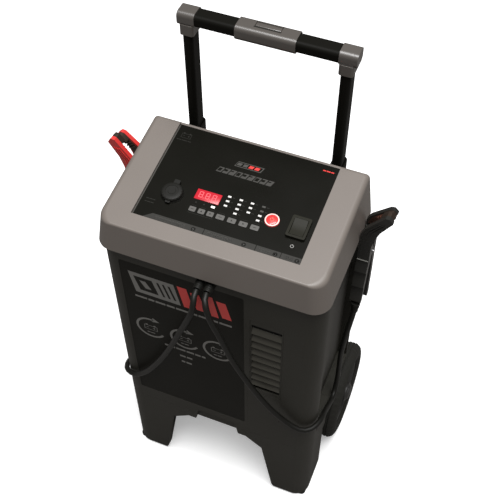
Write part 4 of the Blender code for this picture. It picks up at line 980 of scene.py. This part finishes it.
def hub_profile(half):
    """The hub's section as (radius, height), from the bore to the rim and back."""
    rim = HUB_R - GAP
    bore, nave = 0.0063, 0.02
    return [(bore, half - 0.001), (0.018, half - 0.001), (nave, half - 0.003), (nave, 0.008),
            (0.022, 0.006), (rim - 0.012, 0.006), (rim - 0.009, half - 0.009), (rim - 0.007, half - 0.007),
            (rim, half - 0.007), (rim, 0.007 - half), (rim - 0.007, 0.007 - half), (rim - 0.012, -0.006),
            (nave, -0.006), (nave, 0.001 - half), (bore, 0.001 - half)]


def tread(step, radius, height):
    """Shallow blocks across the tyre's running face."""
    cut = step % 3 == 0 and abs(height) > 0.0065 and radius > WHEEL_R - 0.006
    return radius - (0.0016 if cut else 0.0)


def make_wheels():
    y = D(WHEEL_DEPTH)
    half = (WHEEL_OUTER - WHEEL_INNER) / 2
    dome = [(0, 0.005), (0.006, 0.0048), (0.013, 0.0038), (0.0155, 0.0018), (0.016, 0), (0, 0)]
    for side, sign in SIDES:
        centre = (sign * (WHEEL_INNER + half), y, WHEEL_R)
        tyre = lathe(f"tyre_tread_{side}", tyre_profile(half), TYRE, "X", centre, 144, ripple=tread)
        hub = lathe(f"wheel_hub_{side}", hub_profile(half), HUB, "X", centre, 96)
        windows = []
        for index in range(HUB_WINDOWS):
            angle = 2 * math.pi * index / HUB_WINDOWS
            spot = (centre[0], y + 0.041 * math.cos(angle), WHEEL_R + 0.041 * math.sin(angle))
            windows.append(cylinder("cut_window", spot, 0.013, 0.06, "X", sides=40))
        finish_piece(hub, windows, width=0.0007)
        cap = lathe(f"hub_cap_{side}", dome, HUB, steps=48, closed=False)
        spot = Matrix.Translation((sign * (WHEEL_OUTER - 0.001 + GAP), y, WHEEL_R))
        place(cap, spot @ Matrix.Rotation(math.radians(90 * sign), 4, "Y"))
        for item, slot, node in ((tyre, "tyre", "tyre"), (hub, "hub_black", "hub"),
                                 (cap, "hub_black", "wheel_cap")):
            settle(item, f"wheel_{side}", f"{node}_{side}")


# ---------------- clamps
# Outlines are measured from the pivot: x outwards or distance from the clamp's middle plane, then height.
JAW_OUTLINE = [
    (-0.0098, 0.03), (-0.0098, 0.056), (-0.004, 0.07), (0.0245, 0.106), (0.031, 0.107), (0.0375, 0.098),
    (0.0205, 0.07), (0.0135, 0.05), (0.0098, 0.03)]
TIP_OUTLINE = [
    (0.0155, 0.0935), (0.0247, 0.1052), (0.0308, 0.1061), (0.0369, 0.0979), (0.0283, 0.084)]
LINER_OUTLINE = [
    (-0.007, 0.05), (-0.002, 0.067), (0.0225, 0.099), (0.029, 0.0905), (0.0155, 0.069), (0.009, 0.05)]
JAW_INSIDE = 0.0125
JAW_OUTSIDE = 0.02
JAW_ROOT = 0.056
REAR_JAW_SCALE = 0.74
FRONT_HANDLE = [
    (0.012, 0.05), (0.0035, 0.014), (0.0035, -0.004), (0.012, -0.04), (0.0225, -0.1), (0.025, -0.1065),
    (0.032, -0.1065), (0.0345, -0.1), (0.0275, -0.078), (0.0265, -0.068), (0.031, -0.065),
    (0.0235, -0.043), (0.0225, -0.033), (0.027, -0.03), (0.0205, -0.008), (0.0205, 0.05)]
REAR_HANDLE = [
    (0.012, 0.05), (0.0035, 0.014), (0.0035, -0.004), (0.01, -0.05), (0.0165, -0.14), (0.019, -0.15),
    (0.025, -0.151), (0.0285, -0.143), (0.027, -0.122), (0.0255, -0.118), (0.0275, -0.11),
    (0.0265, -0.094), (0.025, -0.09), (0.0265, -0.08), (0.0255, -0.066), (0.0235, -0.061),
    (0.0245, -0.05), (0.0215, -0.02), (0.0205, 0.05)]
# Each lever: its name, which way it lies, its handle, its two ears, and the room cut for the other's ears.
CLAMP_LEVERS = (
    ("front", -1, FRONT_HANDLE, ((0.0075, CLAMP_HALF - GAP), (GAP - CLAMP_HALF, -0.0075)), 0.0154),
    ("rear", 1, REAR_HANDLE, ((0.0045, 0.0072), (-0.0072, -0.0045)), 0.03))


def jaw_part(name, outline, sign, way, inside, outside, shade=DARK):
    """A slice of a jaw, from inside to outside of the clamp's middle plane; the rear jaw is shorter."""
    px, depth, pz = CLAMP_PIVOT
    scale = REAR_JAW_SCALE if way > 0 else 1.0
    points = [(sign * (px + u), pz + min(v, JAW_ROOT) + max(0.0, v - JAW_ROOT) * scale) for u, v in outline]
    return prism(name, points, "XZ", D(depth) + way * inside, D(depth) + way * outside, shade)


def make_lever(name, sign, way, handle, ears, room_length, shade, node, body):
    """One lever: its handle, its jaw, and two ears round the pin with room for the other lever's."""
    px, depth, pz = CLAMP_PIVOT
    py = D(depth)
    low, high = sorted((sign * (px - CLAMP_HALF), sign * (px + CLAMP_HALF)))
    lever = prism(name, [(py + way * u, pz + v) for u, v in handle], "YZ", low, high, shade)
    trim = block("cut_trim", (-0.4, py - 0.1, pz + 0.0435), (0.4, py + 0.1, pz + 0.2))
    finish_piece(lever, [trim])
    jaw = jaw_part("add_jaw", JAW_OUTLINE, sign, way, JAW_INSIDE, JAW_OUTSIDE)
    room = cylinder("cut_room", (sign * px, py, pz), 0.0096, room_length, "X", sides=40)
    finish_piece(lever, [room], [jaw])
    joins = []
    for start, end in ears:
        a, b = sorted((sign * (px + start), sign * (px + end)))
        near, far = sorted((py, py + way * 0.0125))
        joins += [cylinder("add_ear", ((a + b) / 2, py, pz), 0.009, b - a, "X", sides=40),
                  block("add_web", (a + 0.0002, near, pz - 0.0075), (b - 0.0002, far, pz + 0.0075))]
    bore = cylinder("cut_bore", (sign * px, py, pz), 0.0033, 0.08, "X", sides=32)
    finish_piece(lever, [bore], joins, 0.0013)
    settle(lever, body, node)


def trim_lever(name, sign, way, shade, body):
    """Copper lining with teeth inside a jaw, its tip, and the ribs moulded on its back."""
    # The left clamp's lining and teeth take the dark copper, painted shade for the shaded inside of its
    # jaws; the right clamp's stay bright copper.
    lining = COPPER if sign > 0 else DARK_COPPER

    def add(kind, outline, inside, outside, material, width=0.0):
        piece = jaw_part(f"{name}_{kind}", outline, sign, way, inside, outside, material)
        if width:
            finish_piece(piece, width=width)
        settle(piece, body)

    add("tip", TIP_OUTLINE, 0.0012, JAW_OUTSIDE - 0.0045, DARK_COPPER, 0.001)
    add("liner", LINER_OUTLINE, JAW_INSIDE - 0.0016, JAW_INSIDE - 0.0001, lining)
    along = Vector((0.0245, 0.036)).normalized()
    across = Vector((along.y, -along.x)) * 0.0125
    for index in range(4):
        start = Vector((0.0022, 0.069)) + along * (0.0065 + index * 0.0062)
        end = start + along * 0.0026
        corners = [start, start + across, end + across, end]
        add(f"tooth_{index}", corners, JAW_INSIDE - 0.004, JAW_INSIDE - 0.0015, lining)
    for u in (-0.0062, 0.0, 0.0062):
        path = [(u - 0.0007, 0.006), (u - 0.0007, 0.054), (u * 0.8 + 0.004, 0.067),
                (u * 0.7 + 0.0215, 0.09)]
        shape = path + [(a + 0.0016, b - 0.0006) for a, b in reversed(path)]
        add(f"rib_{u}", shape, JAW_OUTSIDE - 0.0006, JAW_OUTSIDE + 0.0012, shade)


def make_clamp(side, sign, shade):
    px, depth, pz = CLAMP_PIVOT
    y = D(depth)
    for place_name, way, handle, ears, room_length in CLAMP_LEVERS:
        name = f"clamp_arm_{place_name}_{side}"
        body = "case" if way < 0 else f"rear_lever_{side}"
        make_lever(name, sign, way, handle, ears, room_length, shade, f"clamp_{place_name}_lever_{side}",
                   body)
        trim_lever(name, sign, way, shade, body)
    turns, turn_steps, radius, half = 4, 16, 0.0062, 0.0034
    helix = []
    for step in range(turns * turn_steps + 1):
        angle = 2 * math.pi * step / turn_steps
        x = sign * (px - half + 2 * half * step / (turns * turn_steps))
        helix.append((x, y + radius * math.cos(angle), pz + radius * math.sin(angle)))
    spring = tube(f"spring_coil_{side}", helix, 0.0008, STEEL, 2)
    settle(spring, "case", f"clamp_spring_{side}")
    spot = (sign * px, y - JAW_OUTSIDE - 0.0022, pz - 0.0035)
    bar = cylinder(f"clamp_bar_{side}", spot, 0.001, 0.0185, "X", DULL_STEEL, sides=20)
    settle(bar, "case")


# ---------------- leads
LEAD_LEFT = [
    (-0.0125, -0.0144, 0.65), (-0.0115, -0.024, 0.65), (-0.0095, -0.033, 0.643),
    (-0.0115, -0.0365, 0.624), (-0.019, -0.036, 0.6), (-0.044, -0.031, 0.531), (-0.066, -0.025, 0.47),
    (-0.093, -0.019, 0.405), (-0.126, -0.013, 0.34), (-0.155, -0.006, 0.299), (-0.173, -0.0015, 0.288),
    (-0.1874, 0.0094, 0.279), (-0.1962, 0.031, 0.265), (-0.1963, 0.058, 0.252), (-0.1966, 0.088, 0.24),
    (-0.198, 0.114, 0.238), (-0.1985, 0.132, 0.254), (-0.199, 0.139, 0.286), (-0.2, 0.139, 0.335),
    (-0.2015, 0.136, 0.382), (-0.203, 0.136, 0.427), (-0.2045, 0.1395, 0.467), (-0.2055, 0.1455, 0.499),
    (-0.2055, 0.1475, 0.5215)]
LEAD_RIGHT = [
    (0.0045, -0.0144, 0.65), (0.006, -0.024, 0.65), (0.011, -0.033, 0.643), (0.0165, -0.0365, 0.625),
    (0.021, -0.036, 0.608), (0.032, -0.034, 0.574), (0.05, -0.028, 0.506), (0.07, -0.022, 0.45),
    (0.089, -0.017, 0.404), (0.115, -0.012, 0.356), (0.143, -0.007, 0.32), (0.171, -0.004, 0.303),
    (0.1885, 0.0085, 0.3), (0.197, 0.031, 0.298), (0.197, 0.057, 0.284), (0.197, 0.086, 0.263),
    (0.197, 0.112, 0.25), (0.1965, 0.129, 0.263), (0.1962, 0.136, 0.292), (0.1962, 0.135, 0.337),
    (0.1968, 0.132, 0.382), (0.1995, 0.133, 0.427), (0.203, 0.138, 0.467), (0.2055, 0.1455, 0.499),
    (0.2055, 0.1475, 0.5215)]


BOOT = [
    (0.0052, 0.0), (0.0082, 0.0), (0.0082, 0.005), (0.0072, 0.0062), (0.0077, 0.009), (0.0066, 0.0104),
    (0.0071, 0.0132), (0.006, 0.0148), (0.0062, 0.022), (0.0052, 0.0225)]
GLAND = [
    (0.0053, 0.0157), (0.0066, 0.0157), (0.007, 0.014), (0.0064, 0.0128), (0.0073, 0.0112),
    (0.0068, 0.0098), (0.0078, 0.008), (0.0072, 0.0064), (0.008, 0.0048), (0.008, 0.0), (0.0053, 0.0)]


def make_boot(side, end, along):
    """Tapered sleeve where a lead enters its clamp's handle."""
    boot = lathe(f"lead_boot_{side}", BOOT, RUBBER, steps=40)
    place(boot, Matrix.Translation(end) @ along.to_track_quat("Z", "Y").to_matrix().to_4x4())
    settle(boot, "case")
    return boot


def make_leads():
    for (side, _), knots in zip(SIDES, (LEAD_LEFT, LEAD_RIGHT)):
        route, length = smooth_route([(x, D(depth), z) for x, depth, z in knots], 0.012)
        lead = tube(f"output_lead_{side}", route, LEAD_D / 2, CABLE, 4)
        settle(lead, "case", f"lead_{side}")
        boot = make_boot(side, route[-1], (route[-2] - route[-1]).normalized())
        spot = (knots[0][0], D(BODY_FRONT) - GAP, GLAND_Z)
        gland = lathe(f"gland_sleeve_{side}", GLAND, RUBBER, "-Y", spot, 40)
        settle(gland, "case", f"lead_gland_{side}")


# ---------------- CAD pieces that keep their own shape
CAD_SHADES = (
    (PANEL_BLACK, "control_panel"), (LABEL_BLACK, "label_plate"), (STEEL, "axle"),
    (CASE, "axle_carrier"), (CASE, "fan_frame"), (CASE, "fan_rotor"), (CASE, "clamp_holder_left"),
    (CASE, "clamp_holder_right"), (RUBBER, "foot_pad_left"), (RUBBER, "foot_pad_right"),
    (RUBBER, "mains_inlet"), (STEEL, "clamp_pin_left"), (STEEL, "clamp_pin_right"),
    (CORE, "transformer_core"), (WINDING, "transformer_winding"), (BOARD, "circuit_board"),
    (ALUMINIUM, "rectifier_heatsink"))


def finish_cad_pieces():
    for shade, node in CAD_SHADES:
        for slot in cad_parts[node].material_slots:
            slot.material = shade


# ---------------- camera, light and floor
def make_camera():
    around_z, above = math.radians(21.72), math.radians(51.36)
    level = math.cos(above)
    back = Vector((math.sin(around_z) * level, -math.cos(around_z) * level, math.sin(above)))
    right = Vector((math.cos(around_z), math.sin(around_z), 0))
    lens = bpy.data.cameras.new("camera")
    lens.lens = 64.0
    lens.sensor_width = 36.0
    camera = add_object("camera", lens)
    turned = Matrix((right, back.cross(right), back)).transposed().to_4x4()
    camera.matrix_world = Matrix.Translation((0.3623, FRONT - 0.7314, 1.7565)) @ turned
    bpy.context.scene.camera = camera


def area_light(name, spot, target, size, power):
    light = bpy.data.lights.new(name, "AREA")
    light.size = size
    light.energy = power
    item = add_object(name, light)
    item.location = spot
    item.rotation_euler = (Vector(target) - Vector(spot)).to_track_quat("-Z", "Y").to_euler()


def floor_shade():
    """White to the camera, but a duller bounce onto the object, as from a cleaned-up studio floor."""
    shade = principled("floor_white", (0.9, 0.9, 0.9), 0.9, emission=(1, 1, 1), strength=0.35)
    nodes, links = shade.node_tree.nodes, shade.node_tree.links
    dull = nodes.new("ShaderNodeBsdfDiffuse")
    dull.inputs["Color"].default_value = (0.225, 0.215, 0.205, 1)
    path = nodes.new("ShaderNodeLightPath")
    blend = nodes.new("ShaderNodeMixShader")
    links.new(path.outputs["Is Camera Ray"], blend.inputs["Fac"])
    links.new(dull.outputs["BSDF"], blend.inputs[1])
    links.new(nodes["Principled BSDF"].outputs["BSDF"], blend.inputs[2])
    links.new(blend.outputs["Shader"], nodes["Material Output"].inputs["Surface"])
    return shade


def make_set():
    scene = bpy.context.scene
    scene.view_settings.view_transform = "Standard"
    scene.world = bpy.data.worlds.new("studio")
    scene.world.use_nodes = True
    set_inputs(scene.world.node_tree.nodes["Background"], {"Color": (1.0, 0.99, 0.97, 1), "Strength": 0.12})
    floor = block("floor", (-6, -6, -0.02), (6, 6, 0.0), floor_shade())
    area_light("top", (0.55, -0.6, 6.0), (0, 0, 0.3), 3.6, 548)


def main():
    for make in (make_front_shell, make_rear_shell, make_base, make_grille, make_lid, print_panel,
                 make_display, make_keys, make_start_button, make_socket, make_switch, print_label,
                 make_handle, make_wheels):
        make()
    make_clamp("left", -1, CLAMP_RED)
    make_clamp("right", 1, CLAMP_BLACK)
    make_leads()
    finish_cad_pieces()
    make_set()
    make_camera()


main()
